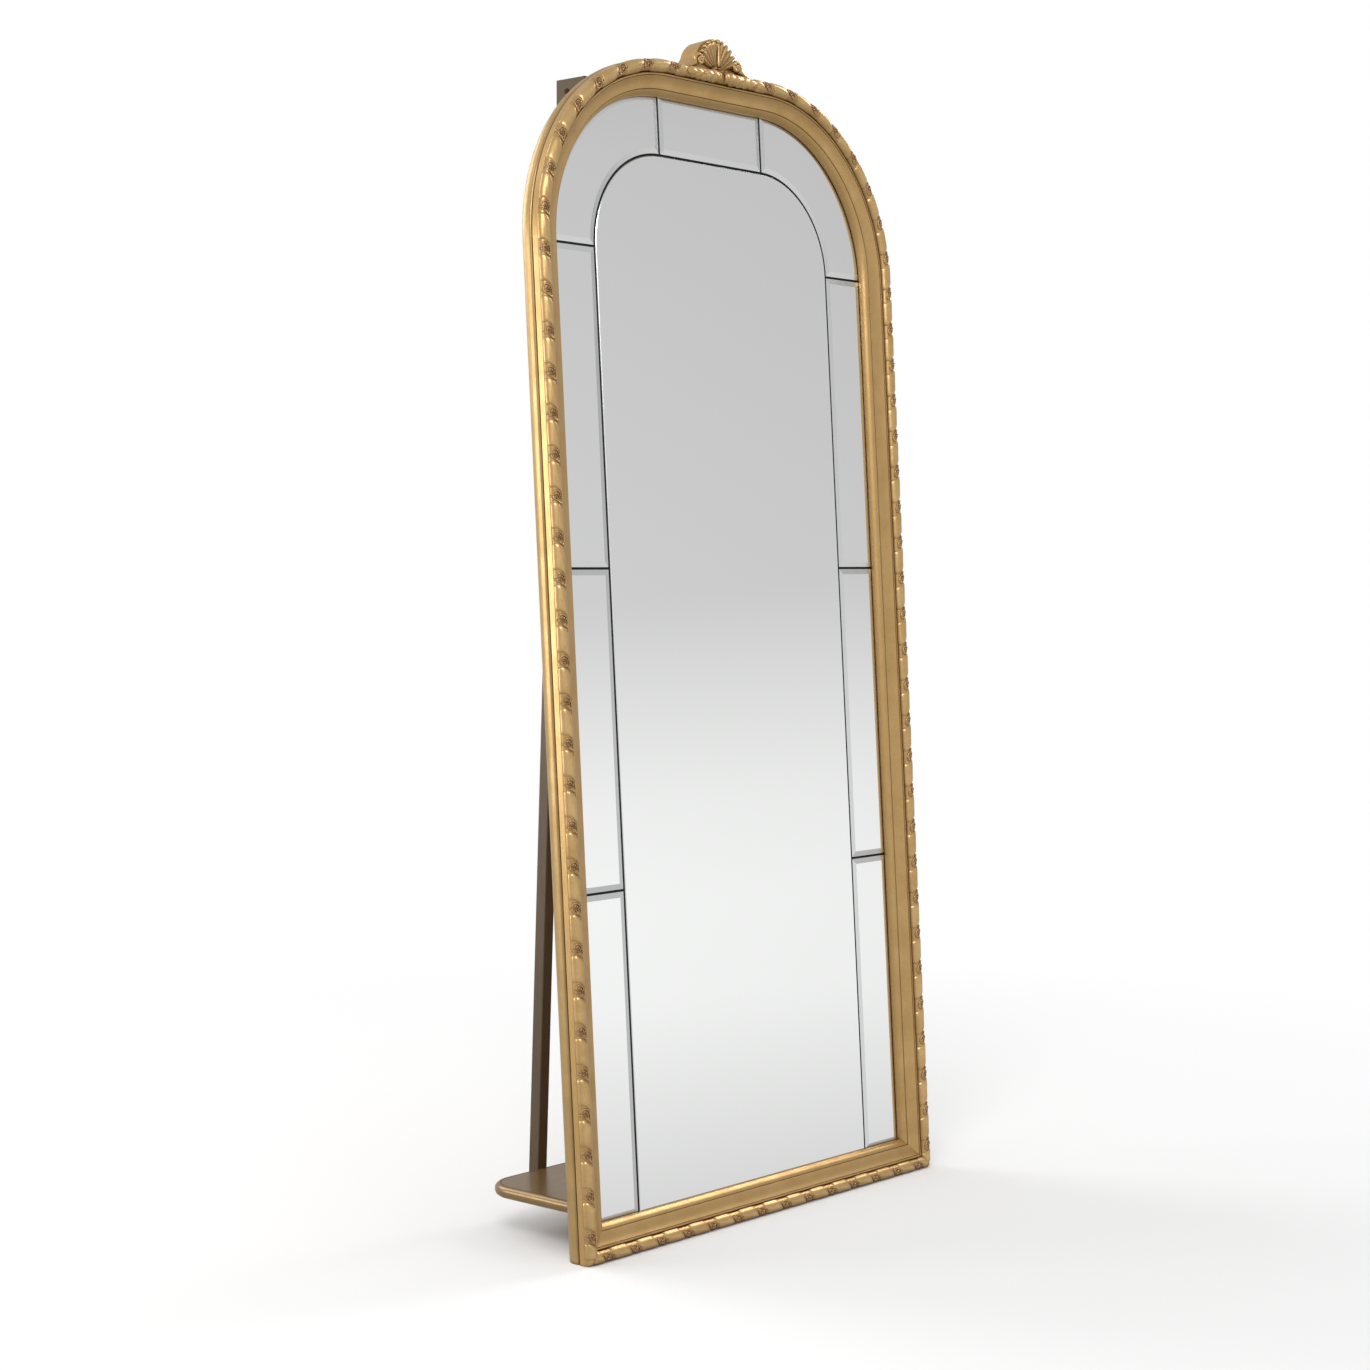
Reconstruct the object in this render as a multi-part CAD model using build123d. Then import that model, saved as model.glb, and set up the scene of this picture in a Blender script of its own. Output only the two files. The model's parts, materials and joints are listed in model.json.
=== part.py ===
"""Floor mirror with a coat rack behind it.

An arched, carved and gilded frame leans back a few degrees and holds ten mirror panes.
Behind it two slim posts rise from a shelf to two side boards, and a board with coat
hooks runs between these.

Two frames are used here. The mirror is drawn upright: x to the right, y backwards from
the front face of the glass, z up from the lower sight line. It is then leaned back about
the sight line and lifted. The rack is drawn level, above the floor. At the end all of it
is centred, so that the origin is on the floor below the middle of the whole.
"""

import math
import os

from build123d import *

# Glass
glass_height = 1700.0
centre_half_width = 293.0
centre_corner_radius = 164.0
strip_width = 94.0
strip_rows = 3
pane_gap = 4.0
pane_thickness = 5.0
strip_bevel_width = 9.0
strip_bevel_depth = 1.4
centre_arris = 1.2

# Rebate of the frame, where glass and boards lie
lip_overlap = 3.0
rebate_clearance = 1.0
backing_thickness = 8.0
cover_thickness = 5.0

# Cross section of the frame, outwards from the sight line and proud of the glass
lip_height = 2.6
bead_width = 9.4
bead_rise = 11.8
bead_bulge = 2.0
quirk_width = 0.9
quirk_depth = 1.3
cove_width = 19.6
cove_rise = 8.6
cove_sag = 1.7
fillet_width = 2.6
fillet_rise = 1.0
bed_radius = 9.6
bed_rise = 22.6
outer_step_drop = 1.6
outer_step_width = 1.0
face_joint_height = 9.3
face_joint_step = 10.0
groove_depth = 5.4
groove_width = 2.4
band_bulge = 1.1
band_ridge = 5.4
band_round = 6.4
band_swell = 2.2

# Ribbon carved along the frame
ribbon_pitch = 64.0
ribbon_gap = 21.0
ribbon_slant = 9.0
ribbon_thickness = 1.8
ribbon_wrap = 102.0
ribbon_side_gap = 0.7
knot_thickness = 0.9
knot_bead_radius = 4.6
knot_clearance = 0.2
ribbon_floor_gap = 0.6
ball_turn = (20.0, 35.0, 50.0)

# Crest over the arch
crest_dome_radius = 51.0
crest_dome_rise = 4.0
crest_front = 17.0
crest_half_length = 88.0
crest_foot_angle = 20.0
crest_foot_hollow = 5.0
crest_sink = 3.0
shell_radius = 52.0
shell_flutes = 11
shell_spread = 66.0
shell_rib_radius = 5.2
shell_root_radius = 1.8
shell_plate = 5.0
scroll_offset = 48.0
scroll_radius = 12.0
scroll_thickness = 9.0
cluster_beads = 6
cluster_radius = 15.0
cluster_turn = 17.0
cluster_bead_radius = 6.4
leaf_root_radius = 13.0
leaf_tip_proud = 1.2
cluster_proud = 29.0
cluster_drop = 5.0

# Stance
lean = 3.52
sight_height = 54.0

# Shelf at the foot
shelf_half_width = 411.0
shelf_under = 63.5
shelf_thickness = 19.0
shelf_rear = 243.0
shelf_corner_radius = 58.0
shelf_nose_radius = 8.6
shelf_quirk_inset = 8.5
shelf_quirk_width = 1.8
shelf_quirk_depth = 1.4

# Posts and side boards
post_outer = 282.0
post_width = 21.4
post_depth = 22.0
post_seat = 3.5
board_top = 1861.0
board_height = 110.0
board_rear = 191.5
edge_round = 1.2

# Boards across the back
batten_thickness = 20.0
lower_batten_half_width = 395.0
lower_batten_drop = 45.0
upper_batten_height = 42.0
hook_board_thickness = 22.0
hook_board_height = 90.0
hook_board_inset = 13.5
hook_board_drop = 5.0

# Coat hooks
hook_count = 4
hook_span = 195.0
hook_plate_width = 20.0
hook_plate_height = 62.0
hook_plate_thickness = 3.0
hook_plate_corner = 9.5
hook_rod_radius = 3.5
hook_arm_offset = 16.0
hook_dip = 4.0
hook_reach = 50.0
hook_rise = 28.0
hook_bend = 9.0
hook_ball_radius = 7.0
hook_low_reach = 24.0
hook_low_rise = 10.0
hook_low_bend = 6.0
hook_low_ball_radius = 5.6
hook_screw_inset = 7.0

# Feet under the back of the shelf
foot_offset = 170.0
foot_inset = 48.0
foot_radius = 22.0
foot_neck_radius = 14.0
foot_collar_radius = 19.0
foot_collar_height = 9.0
glide_radius = 15.0
glide_thickness = 3.0
foot_stud_length = 30.0

# Hardware
clip_length = 40.0
clip_width = 14.0
clip_thickness = 2.0
clip_tongue = 14.0
clip_rows = 4
clip_first_row = 240.0
clip_row_spacing = 370.0
screw_radius = 2.0
screw_head_radius = 4.2
screw_head_height = 1.6
screw_length = 16.0
long_screw_length = 38.0
brace_leg = 70.0
brace_width = 18.0
brace_thickness = 2.0
brace_screws = (32.0, 56.0)
lower_batten_screws = 4
lower_batten_screw_span = 348.0
upper_batten_screws = 3
upper_batten_screw_span = 90.0
shelf_screw_count = 4
shelf_screw_span = 335.0
board_screw_inset = 20.0
dowel_radius = 4.0
dowel_length = 40.0

# Sizes that follow from the ones above
sight_half_width = centre_half_width + strip_width
sight_top = glass_height + strip_width
sight_radius = centre_corner_radius + strip_width
flat_half_length = sight_half_width - sight_radius
spring_height = sight_top - sight_radius
strip_height = spring_height / strip_rows
rebate_wall = lip_overlap + rebate_clearance
frame_back = pane_thickness + backing_thickness + cover_thickness
bead_top = lip_height + bead_rise
quirk_end = bead_width + quirk_width
cove_end = quirk_end + cove_width
cove_top = bead_top + quirk_depth + cove_rise
fillet_start = cove_end + quirk_width
fillet_end = fillet_start + fillet_width
fillet_top = cove_top + fillet_rise
bed_centre = fillet_end + bed_radius + ribbon_thickness + ribbon_side_gap
outer_side = bed_centre + bed_radius + outer_step_width
rebate_step = rebate_wall + face_joint_step
groove_side = outer_side - groove_depth
band_top = face_joint_height - groove_width
shelf_top = shelf_under + shelf_thickness
post_inner = post_outer - post_width
post_front_foot = shelf_rear - post_seat
board_foot = board_top - board_height
very_long = 4 * glass_height


def line(start, end):
    """A straight edge of a section."""
    return Edge.make_line((*start, 0), (*end, 0))


def bow(start, end, sag):
    """An arc from start to end whose middle stands off to the left by sag."""
    run = (end[0] - start[0], end[1] - start[1])
    length = math.hypot(*run)
    middle_x = (start[0] + end[0]) / 2 - run[1] / length * sag
    middle_y = (start[1] + end[1]) / 2 + run[0] / length * sag
    return Edge.make_three_point_arc((*start, 0), (middle_x, middle_y, 0), (*end, 0))


def around(centre, radius, first, last):
    """An arc about a centre between two angles in degrees."""
    angles = (first, (first + last) / 2, last)
    points = [
        (centre[0] + radius * math.cos(math.radians(a)), centre[1] + radius * math.sin(math.radians(a)), 0)
        for a in angles
    ]
    return Edge.make_three_point_arc(*points)


def end_of(edge):
    """The two section coordinates of the far end of an edge."""
    point = edge @ 1
    return (point.X, point.Y)


def start_of(edge):
    """The two section coordinates of the near end of an edge."""
    point = edge @ 0
    return (point.X, point.Y)


def face_section():
    """The carved face moulding: lip, bead, quirk, cove, quirk, fillet, bed roll and outer side."""
    bed = around((bed_centre, bed_rise), bed_radius, 180, 0)
    bead_end = (bead_width, bead_top)
    quirk_one = (quirk_end, bead_top + quirk_depth)
    cove_stop = (cove_end, cove_top)
    fillet_one = (fillet_start, fillet_top)
    fillet_two = (fillet_end, fillet_top)
    step_one = (outer_side, bed_rise - outer_step_drop)
    joint_outer = (outer_side, face_joint_height + groove_width / 2)
    groove_wall = (groove_side, face_joint_height)
    edges = [
        line((0, 0), (0, lip_height)),
        bow((0, lip_height), bead_end, bead_bulge),
        line(bead_end, ((bead_width + quirk_end) / 2, bead_top - quirk_depth)),
        line(((bead_width + quirk_end) / 2, bead_top - quirk_depth), quirk_one),
        bow(quirk_one, cove_stop, -cove_sag),
        line(cove_stop, ((cove_end + fillet_start) / 2, cove_top - quirk_depth)),
        line(((cove_end + fillet_start) / 2, cove_top - quirk_depth), fillet_one),
        line(fillet_one, fillet_two),
        line(fillet_two, start_of(bed)),
        bed,
        line(end_of(bed), step_one),
        line(step_one, joint_outer),
        line(joint_outer, groove_wall),
        line(groove_wall, (rebate_step, face_joint_height)),
        line((rebate_step, face_joint_height), (rebate_step, 0)),
        line((rebate_step, 0), (0, 0)),
    ]
    return Face(Wire(edges))


def carcass_section():
    """The frame behind the face moulding, with the rebate and the rounded outer band."""
    ridge_top = (outer_side - band_bulge, band_top)
    ridge_end = (outer_side, band_top - band_ridge)
    back_end = (outer_side - band_round, -frame_back)
    edges = [
        line((rebate_wall, -frame_back), (rebate_wall, 0)),
        line((rebate_wall, 0), (rebate_step, 0)),
        line((rebate_step, 0), (rebate_step, face_joint_height)),
        line((rebate_step, face_joint_height), (groove_side, face_joint_height)),
        line((groove_side, face_joint_height), (groove_side, band_top)),
        line((groove_side, band_top), (outer_side - band_ridge / 2, band_top)),
        bow((outer_side - band_ridge / 2, band_top), ridge_end, band_bulge),
        bow(ridge_end, back_end, band_swell),
        line(back_end, (rebate_wall, -frame_back)),
    ]
    return Face(Wire(edges))


def ribbon_section(thickness):
    """A sheet of the ribbon wrapped over the bed roll."""
    centre = (bed_centre, bed_rise)
    outer = around(centre, bed_radius + thickness, 90 + ribbon_wrap, 90 - ribbon_wrap)
    inner = around(centre, bed_radius, 90 - ribbon_wrap, 90 + ribbon_wrap)
    edges = [outer, line(end_of(outer), start_of(inner)), inner, line(end_of(inner), start_of(outer))]
    sheet = Face(Wire(edges))
    return sheet - face_section()


def side_plane(side, height):
    """The section plane of a stile: side is -1 for the left and 1 for the right."""
    return Plane(origin=(side * sight_half_width, 0, height), x_dir=(side, 0, 0), z_dir=(0, 0, -side))


def stile(section, side):
    """A stile from below the floor line up to the spring of the arch."""
    height = spring_height + 2 * outer_side
    return extrude(side_plane(side, spring_height) * section, height, dir=(0, 0, -1))


def arch(section, side):
    """A quarter of the arch, turned about the centre of its corner."""
    plane = side_plane(side, spring_height)
    axis = Axis((side * flat_half_length, 0, spring_height), (0, -side, 0))
    return revolve(plane * section, axis=axis, revolution_arc=90)


def top_rail(section):
    """The straight rail between the two arch quarters."""
    plane = Plane(origin=(-flat_half_length, 0, sight_top), x_dir=(0, 0, 1), z_dir=(1, 0, 0))
    return extrude(plane * section, 2 * flat_half_length, dir=(1, 0, 0))


def bottom_rail(section):
    """The bottom rail, long enough to be mitred."""
    reach = sight_half_width + 2 * outer_side
    plane = Plane(origin=(reach, 0, 0), x_dir=(0, 0, -1), z_dir=(-1, 0, 0))
    return extrude(plane * section, 2 * reach, dir=(-1, 0, 0))


def through(outline):
    """A prism through the depth of the frame with the given front outline in x and z."""
    face = Face(Wire.make_polygon([(x, 0, z) for x, z in outline], close=True))
    depth = 4 * outer_side
    return extrude(Pos(0, -depth / 2, 0) * face, depth, dir=(0, 1, 0))


def stile_mitre(side):
    """The space of a stile beyond the bottom mitre."""
    corner = side * sight_half_width
    outside = corner + side * 2 * outer_side
    return through([(corner, 0), (corner, spring_height), (outside, spring_height), (outside, -2 * outer_side)])


def rail_mitre():
    """The space of the bottom rail between its two mitres."""
    outside = sight_half_width + 2 * outer_side
    low = -2 * outer_side
    return through([(-sight_half_width, 0), (sight_half_width, 0), (outside, low), (-outside, low)])


def left_run(section):
    """The left stile, its arch quarter and the top rail up to the crest, as one piece."""
    plane = Plane(origin=(-crest_half_length, 0, sight_top), x_dir=(0, 0, 1), z_dir=(1, 0, 0))
    top = extrude(plane * section, flat_half_length - crest_half_length, dir=(-1, 0, 0))
    return (stile(section, -1) & stile_mitre(-1)) + arch(section, -1) + top


def run_length():
    """Length along the ribbon from the bottom mitre to the crest."""
    quarter = math.pi / 2 * (sight_radius + bed_centre)
    return spring_height + bed_centre + quarter + flat_half_length - crest_half_length


def run_place(distance):
    """The place on the left ribbon at a distance along the run: its centre, outward and along."""
    straight = spring_height + bed_centre
    radius = sight_radius + bed_centre
    quarter = math.pi / 2 * radius
    turn = min(max((distance - straight) / radius, 0.0), math.pi / 2)
    rest = max(distance - straight - quarter, 0.0)
    centre = Vector(
        rest - flat_half_length - radius * math.cos(turn),
        -bed_rise,
        spring_height + radius * math.sin(turn) + min(distance - straight, 0.0),
    )
    outward = Vector(-math.cos(turn), 0, math.sin(turn))
    along = Vector(math.sin(turn), 0, math.cos(turn))
    return centre, outward, along


def bottom_place(x):
    """The place on the bottom ribbon at a distance from the middle."""
    return Vector(x, -bed_rise, -bed_centre), Vector(0, 0, -1), Vector(1, 0, 0)


def gap_tool(place, width):
    """A slanted slice across the ribbon, its outer end further along the run."""
    centre, outward, along = place
    reach = 2 * bed_radius
    corners = [
        centre + outward * (sign_out * reach) + along * (sign_along * width / 2 + sign_out * ribbon_slant)
        for sign_out, sign_along in ((-1, -1), (1, -1), (1, 1), (-1, 1))
    ]
    slice_face = Face(Wire.make_polygon(corners, close=True))
    return extrude(Pos(0, reach, 0) * slice_face, 2 * reach, dir=(0, -1, 0))


def even_places(length):
    """Distances of the knots from the start of a run, spread evenly at about one pitch."""
    count = round(length / ribbon_pitch)
    return [(i + 0.5) * length / count for i in range(count)]


def run_knot_places():
    """Where the knots of the left side sit."""
    return [run_place(distance) for distance in even_places(run_length())]


def bottom_knot_places():
    """Where the knots of the bottom rail sit."""
    length = 2 * (sight_half_width + bed_centre)
    return [bottom_place(distance - length / 2) for distance in even_places(length)]


def ball(radius):
    """A ball, turned so that its poles and seam stay clear of what it meets."""
    return Rot(*ball_turn) * Sphere(radius)


def ribbon_turns(strip, places):
    """The smooth turns of the ribbon: the strip without its gaps."""
    return strip - [gap_tool(place, ribbon_gap) for place in places]


def ribbon_knots(strip, bed, places):
    """The knots between the turns: a thin slice of the strip each, with a bead on top."""
    pieces = []
    for place in places:
        slice_of_strip = strip & gap_tool(place, ribbon_gap - 2 * knot_clearance)
        bead = Pos(place[0] + Vector(0, -bed_radius, 0)) * ball(knot_bead_radius)
        knot = slice_of_strip + (bead - bed)
        pieces.append(knot.solids().sort_by(SortBy.VOLUME)[-1])
    return group(pieces)


def front_sketch(sketch, thickness, depth=0.0):
    """A slab behind the glass plane with a front outline in x and z, starting at a depth."""
    return Pos(0, depth, 0) * extrude(Plane.XZ * sketch, thickness, dir=(0, 1, 0))


def bevelled(outline, bevel_width, bevel_depth):
    """A glass pane whose front edges are ground away."""
    slab = front_sketch(outline, pane_thickness)
    front = slab.faces().sort_by(Axis.Y)[0]
    return chamfer(front.edges(), bevel_width, bevel_depth, reference=front)


def arched(half_width, foot, top, radius):
    """An upright outline with round upper corners."""
    body = Pos(0, (foot + top - radius) / 2) * Rectangle(2 * half_width, top - radius - foot)
    crown = Pos(0, top - radius / 2) * Rectangle(2 * (half_width - radius), radius)
    corners = [Pos(side * (half_width - radius), top - radius) * Circle(radius) for side in (-1, 1)]
    return body + crown + corners


def quadrant(side):
    """The quarter plane outside and above the centre of an arch corner, less half a gap."""
    reach = 2 * sight_radius
    x = side * (flat_half_length + pane_gap / 2 + reach / 2)
    return Pos(x, spring_height + pane_gap / 2 + reach / 2) * Rectangle(reach, reach)


def centre_pane():
    """The tall middle mirror, its edge only lightly broken."""
    radius = centre_corner_radius - pane_gap / 2
    outline = arched(centre_half_width - pane_gap / 2, -lip_overlap, glass_height - pane_gap / 2, radius)
    return bevelled(outline, centre_arris, centre_arris)


def side_pane(side, row):
    """One of the bevelled strips beside the middle mirror, counted from the bottom."""
    inner = centre_half_width + pane_gap / 2
    outer = sight_half_width + lip_overlap
    low = row * strip_height + pane_gap / 2 if row else -lip_overlap
    high = (row + 1) * strip_height - pane_gap / 2
    outline = Pos(side * (inner + outer) / 2, (low + high) / 2) * Rectangle(outer - inner, high - low)
    return bevelled(outline, strip_bevel_width, strip_bevel_depth)


def corner_pane(side):
    """The curved strip round an upper corner."""
    middle = Pos(side * flat_half_length, spring_height)
    outer = sight_radius + lip_overlap
    inner = centre_corner_radius + pane_gap / 2
    outline = (middle * Circle(outer) - middle * Circle(inner)) & quadrant(side)
    return bevelled(outline, strip_bevel_width, strip_bevel_depth)


def top_pane():
    """The short strip over the middle mirror."""
    low = glass_height + pane_gap / 2
    high = sight_top + lip_overlap
    outline = Pos(0, (low + high) / 2) * Rectangle(2 * flat_half_length - pane_gap, high - low)
    return bevelled(outline, strip_bevel_width, strip_bevel_depth)


def back_panel(thickness, depth):
    """A board that fills the rebate behind the glass."""
    radius = sight_radius + lip_overlap
    outline = arched(sight_half_width + lip_overlap, -lip_overlap, sight_top + lip_overlap, radius)
    return front_sketch(outline, thickness, depth)


def clip_spots():
    """Places on the rebate wall and the direction outwards, for each turn button."""
    spots = []
    for side in (-1, 1):
        for row in range(clip_rows):
            spots.append((side * sight_half_width, clip_first_row + row * clip_row_spacing, side, 0.0))
        diagonal = math.sqrt(0.5)
        spots.append(
            (
                side * (flat_half_length + sight_radius * diagonal),
                spring_height + sight_radius * diagonal,
                side * diagonal,
                diagonal,
            )
        )
    return spots


def retainer_clips():
    """Turn buttons on the back of the frame that hold the cover in."""
    clips = []
    for x, z, out_x, out_z in clip_spots():
        middle = clip_length / 2 - clip_tongue
        plate = Box(clip_length, clip_thickness, clip_width)
        place = Pos(x + out_x * middle, frame_back + clip_thickness / 2, z + out_z * middle)
        turn = Rot(0, -math.degrees(math.atan2(out_z, out_x)), 0)
        clips.append(place * turn * plate)
    return clips


def screw(point, direction, length=screw_length):
    """A pan head screw: point is on the surface under the head, direction is into the work."""
    plane = Plane(origin=point, z_dir=direction)
    shank = extrude(plane * Circle(screw_radius), length)
    head = extrude(plane * Circle(screw_head_radius), -screw_head_height)
    return shank + head


def clip_screws():
    """A screw through each turn button into the frame."""
    reach = clip_length / 2 - clip_tongue / 2
    depth = frame_back + clip_thickness
    places = [(x + out_x * reach, depth, z + out_z * reach) for x, z, out_x, out_z in clip_spots()]
    return [screw(place, (0, -1, 0)) for place in places]


def joint_plates():
    """Flat steel plates across the joints between the stiles and the arch."""
    x = sight_half_width + (rebate_wall + outer_side - band_round) / 2
    plate = Box(brace_width, brace_thickness, 2 * brace_leg)
    depth = frame_back + brace_thickness / 2
    return [Pos(side * x, depth, spring_height - brace_leg / 2) * plate for side in (-1, 1)]


def joint_plate_screws():
    """Two screws at each end of the joint plates."""
    x = sight_half_width + (rebate_wall + outer_side - band_round) / 2
    depth = frame_back + brace_thickness
    heights = [spring_height - brace_leg / 2 + end * reach for end in (-1, 1) for reach in brace_screws]
    return [screw((side * x, depth, height), (0, -1, 0)) for side in (-1, 1) for height in heights]


def crest_block():
    """The domed block over the top rail that carries the carving."""
    outer_top = sight_top + outer_side
    middle = outer_top + crest_dome_rise
    dome = around((0, middle), crest_dome_radius, 180 - crest_foot_angle, crest_foot_angle)
    left_foot = (-crest_half_length, outer_top)
    right_foot = (crest_half_length, outer_top)
    low = outer_top - crest_sink
    edges = [
        line((-crest_half_length, low), left_foot),
        bow(left_foot, start_of(dome), -crest_foot_hollow),
        dome,
        bow(end_of(dome), right_foot, -crest_foot_hollow),
        line(right_foot, (crest_half_length, low)),
        line((crest_half_length, low), (-crest_half_length, low)),
    ]
    block = front_sketch(Face(Wire(edges)), crest_front + frame_back, -crest_front)
    block = block - top_rail(face_section()) - top_rail(carcass_section())
    return block.solids().sort_by(SortBy.VOLUME)[-1]


def tapered(start, end, start_radius, end_radius):
    """A round limb from one point to another, with a ball at its thick end."""
    run = Vector(*end) - Vector(*start)
    plane = Plane(origin=start, z_dir=run)
    limb = plane * Pos(0, 0, run.length / 2) * Cone(start_radius, end_radius, run.length)
    ball_centre, ball_radius = (start, start_radius) if start_radius > end_radius else (end, end_radius)
    return limb + Pos(*ball_centre) * Sphere(ball_radius)


def crest_carving():
    """The fluted shell, its two scrolls, the flower below it and the leaves along the frame."""
    root = sight_top + outer_side
    reach = shell_radius - shell_rib_radius
    depth = -(crest_front + shell_plate)
    half_disc = Pos(0, root) * Circle(reach) & Pos(0, root + reach) * Rectangle(4 * reach, 2 * reach)
    carving = front_sketch(half_disc, shell_plate, depth)
    for i in range(shell_flutes):
        angle = math.radians(-shell_spread + 2 * shell_spread * i / (shell_flutes - 1))
        tip = (reach * math.sin(angle), depth, root + reach * math.cos(angle))
        carving = carving + tapered((0, depth, root), tip, shell_root_radius, shell_rib_radius)
    for side in (-1, 1):
        scroll = Pos(side * scroll_offset, root + scroll_radius) * Circle(scroll_radius)
        carving = carving + front_sketch(scroll, scroll_thickness, -crest_front - scroll_thickness)
        leaf_height = sight_top + bed_centre
        leaf_start = (side * cluster_radius, -bed_rise, leaf_height)
        leaf_end = (side * crest_half_length, -bed_rise, leaf_height)
        carving = carving + tapered(leaf_start, leaf_end, leaf_root_radius, bed_radius + leaf_tip_proud)
    for i in range(cluster_beads):
        angle = math.radians(cluster_turn + 360 * i / cluster_beads)
        height = root - cluster_drop + cluster_radius * math.sin(angle) / 2
        place = Pos(cluster_radius * math.cos(angle), -cluster_proud, height)
        carving = carving + place * Sphere(cluster_bead_radius)
    carving = carving - top_rail(face_section()) - top_rail(carcass_section()) - crest_block()
    return carving.solids().sort_by(SortBy.VOLUME)[-1]


def lean_back(shape):
    """Put a piece of the upright mirror where the leaning mirror has it."""
    return Pos(0, 0, sight_height) * Rot(-lean, 0, 0) * shape


def above(shape, height=0.0):
    """The part of a piece that lies over a level."""
    return shape & Pos(0, 0, height + very_long / 2) * Box(very_long, very_long, very_long)


def behind_frame(shape):
    """The part of a level piece that lies behind the back of the leaning frame."""
    return shape & lean_back(Pos(0, frame_back + very_long / 2, 0) * Box(very_long, very_long, very_long))


def side_slab(outline, side):
    """A slab beside the posts, cut to an outline in y and z, between the post's two faces."""
    face = Face(Wire.make_polygon([(side * post_inner, y, z) for y, z in outline], close=True))
    return extrude(face, post_width, dir=(side, 0, 0))


def post_rear(height):
    """How far back the rear face of a post is at a height."""
    foot_rear = post_front_foot + post_depth
    return board_rear + (foot_rear - board_rear) * (board_foot - height) / (board_foot - shelf_top)


def post(side):
    """A slim square post from the underside of the shelf to the foot of the side board."""
    low_rear = post_rear(shelf_under)
    outline = [(low_rear - post_depth, shelf_under), (low_rear, shelf_under), (board_rear, board_foot),
               (board_rear - post_depth, board_foot)]
    slab = side_slab(outline, side)
    long_edges = slab.edges().filter_by(lambda edge: edge.length > board_height * 2)
    return chamfer(long_edges, edge_round)


def side_board(side):
    """The board from the back of the arch to the top of the post."""
    slab = side_slab([(0, board_foot), (board_rear, board_foot), (board_rear, board_top), (0, board_top)], side)
    rear_edges = slab.edges().filter_by(Axis.Z).sort_by(Axis.Y)[-2:]
    top_edges = slab.edges().filter_by(Axis.Y).sort_by(Axis.Z)[-2:]
    return behind_frame(chamfer(rear_edges + top_edges, edge_round))


def lower_batten():
    """The batten across the back of the frame that the shelf rests on."""
    height = 4 * lower_batten_drop
    bar = Box(2 * lower_batten_half_width, batten_thickness, height)
    place = Pos(0, frame_back + batten_thickness / 2, height / 2 - lower_batten_drop)
    leaning = lean_back(place * bar)
    return leaning - above(leaning, shelf_under)


def upper_batten():
    """The batten between the side boards, against the back of the top rail."""
    bar = Box(2 * post_inner, batten_thickness, upper_batten_height)
    return lean_back(Pos(0, frame_back + batten_thickness / 2, upper_batten_middle()) * bar)


def hook_board():
    """The board between the side boards that carries the coat hooks."""
    rear = board_rear - hook_board_inset
    top = board_top - hook_board_drop
    board = Box(2 * post_inner, hook_board_thickness, hook_board_height)
    board = Pos(0, rear - hook_board_thickness / 2, top - hook_board_height / 2) * board
    return chamfer(board.edges().filter_by(Axis.X).sort_by(Axis.Y)[-2:], 2 * edge_round)


def shelf():
    """The shelf: round back corners, a bullnose on three edges and a line cut round the top."""
    depth = shelf_rear + post_depth
    outline = Pos(0, shelf_rear - depth / 2) * Rectangle(2 * shelf_half_width, depth)
    rear_corners = outline.vertices().sort_by(Axis.Y)[-2:]
    outline = fillet(rear_corners, shelf_corner_radius)
    board = Pos(0, 0, shelf_under) * extrude(outline, shelf_thickness)
    level_edges = board.edges().filter_by(lambda edge: abs(edge.tangent_at(0.5).Z) < 0.5)
    nosed = level_edges.filter_by(lambda edge: edge.center().Y > shelf_rear - depth + 1)
    board = fillet(nosed, shelf_nose_radius)
    inner = offset(outline, -shelf_quirk_inset)
    inside = offset(outline, -shelf_quirk_inset - shelf_quirk_width)
    groove = Pos(0, 0, shelf_top - shelf_quirk_depth) * extrude(inner - inside, shelf_quirk_depth)
    board = board - groove
    board = behind_frame(board)
    return board - post(-1) - post(1)


def spread(span, count):
    """Evenly spaced places from -span to span."""
    return [span * (2 * i / (count - 1) - 1) for i in range(count)]


def coat_hook(x):
    """A double coat hook: plate, tall upper arm with a ball and short lower arm."""
    rear = board_rear - hook_board_inset
    middle = board_top - hook_board_drop - hook_board_height / 2
    plate = Box(hook_plate_width, hook_plate_thickness, hook_plate_height)
    plate = Pos(x, rear + hook_plate_thickness / 2, middle) * plate
    plate = fillet(plate.edges().filter_by(Axis.Y), hook_plate_corner)
    start = rear + hook_plate_thickness / 2
    arms = [
        (middle + hook_arm_offset, hook_reach, hook_rise, hook_bend, hook_ball_radius),
        (middle - hook_arm_offset, hook_low_reach, hook_low_rise, hook_low_bend, hook_low_ball_radius),
    ]
    for z, reach, rise, bend, tip_radius in arms:
        tip = (x, start + reach, z + rise)
        path = FilletPolyline((x, start, z), (x, start + reach, z - hook_dip), tip, radius=bend)
        section = Plane(origin=path @ 0, z_dir=path % 0) * Circle(hook_rod_radius)
        plate = plate + sweep(section, path=path) + Pos(*tip) * Sphere(tip_radius)
    return plate


def hook_screws():
    """Two screws through each hook plate."""
    rear = board_rear - hook_board_inset + hook_plate_thickness
    middle = board_top - hook_board_drop - hook_board_height / 2
    rise = hook_plate_height / 2 - hook_screw_inset
    columns = spread(hook_span, hook_count)
    return [screw((x, rear, middle + sign * rise), (0, -1, 0)) for x in columns for sign in (-1, 1)]


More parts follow.
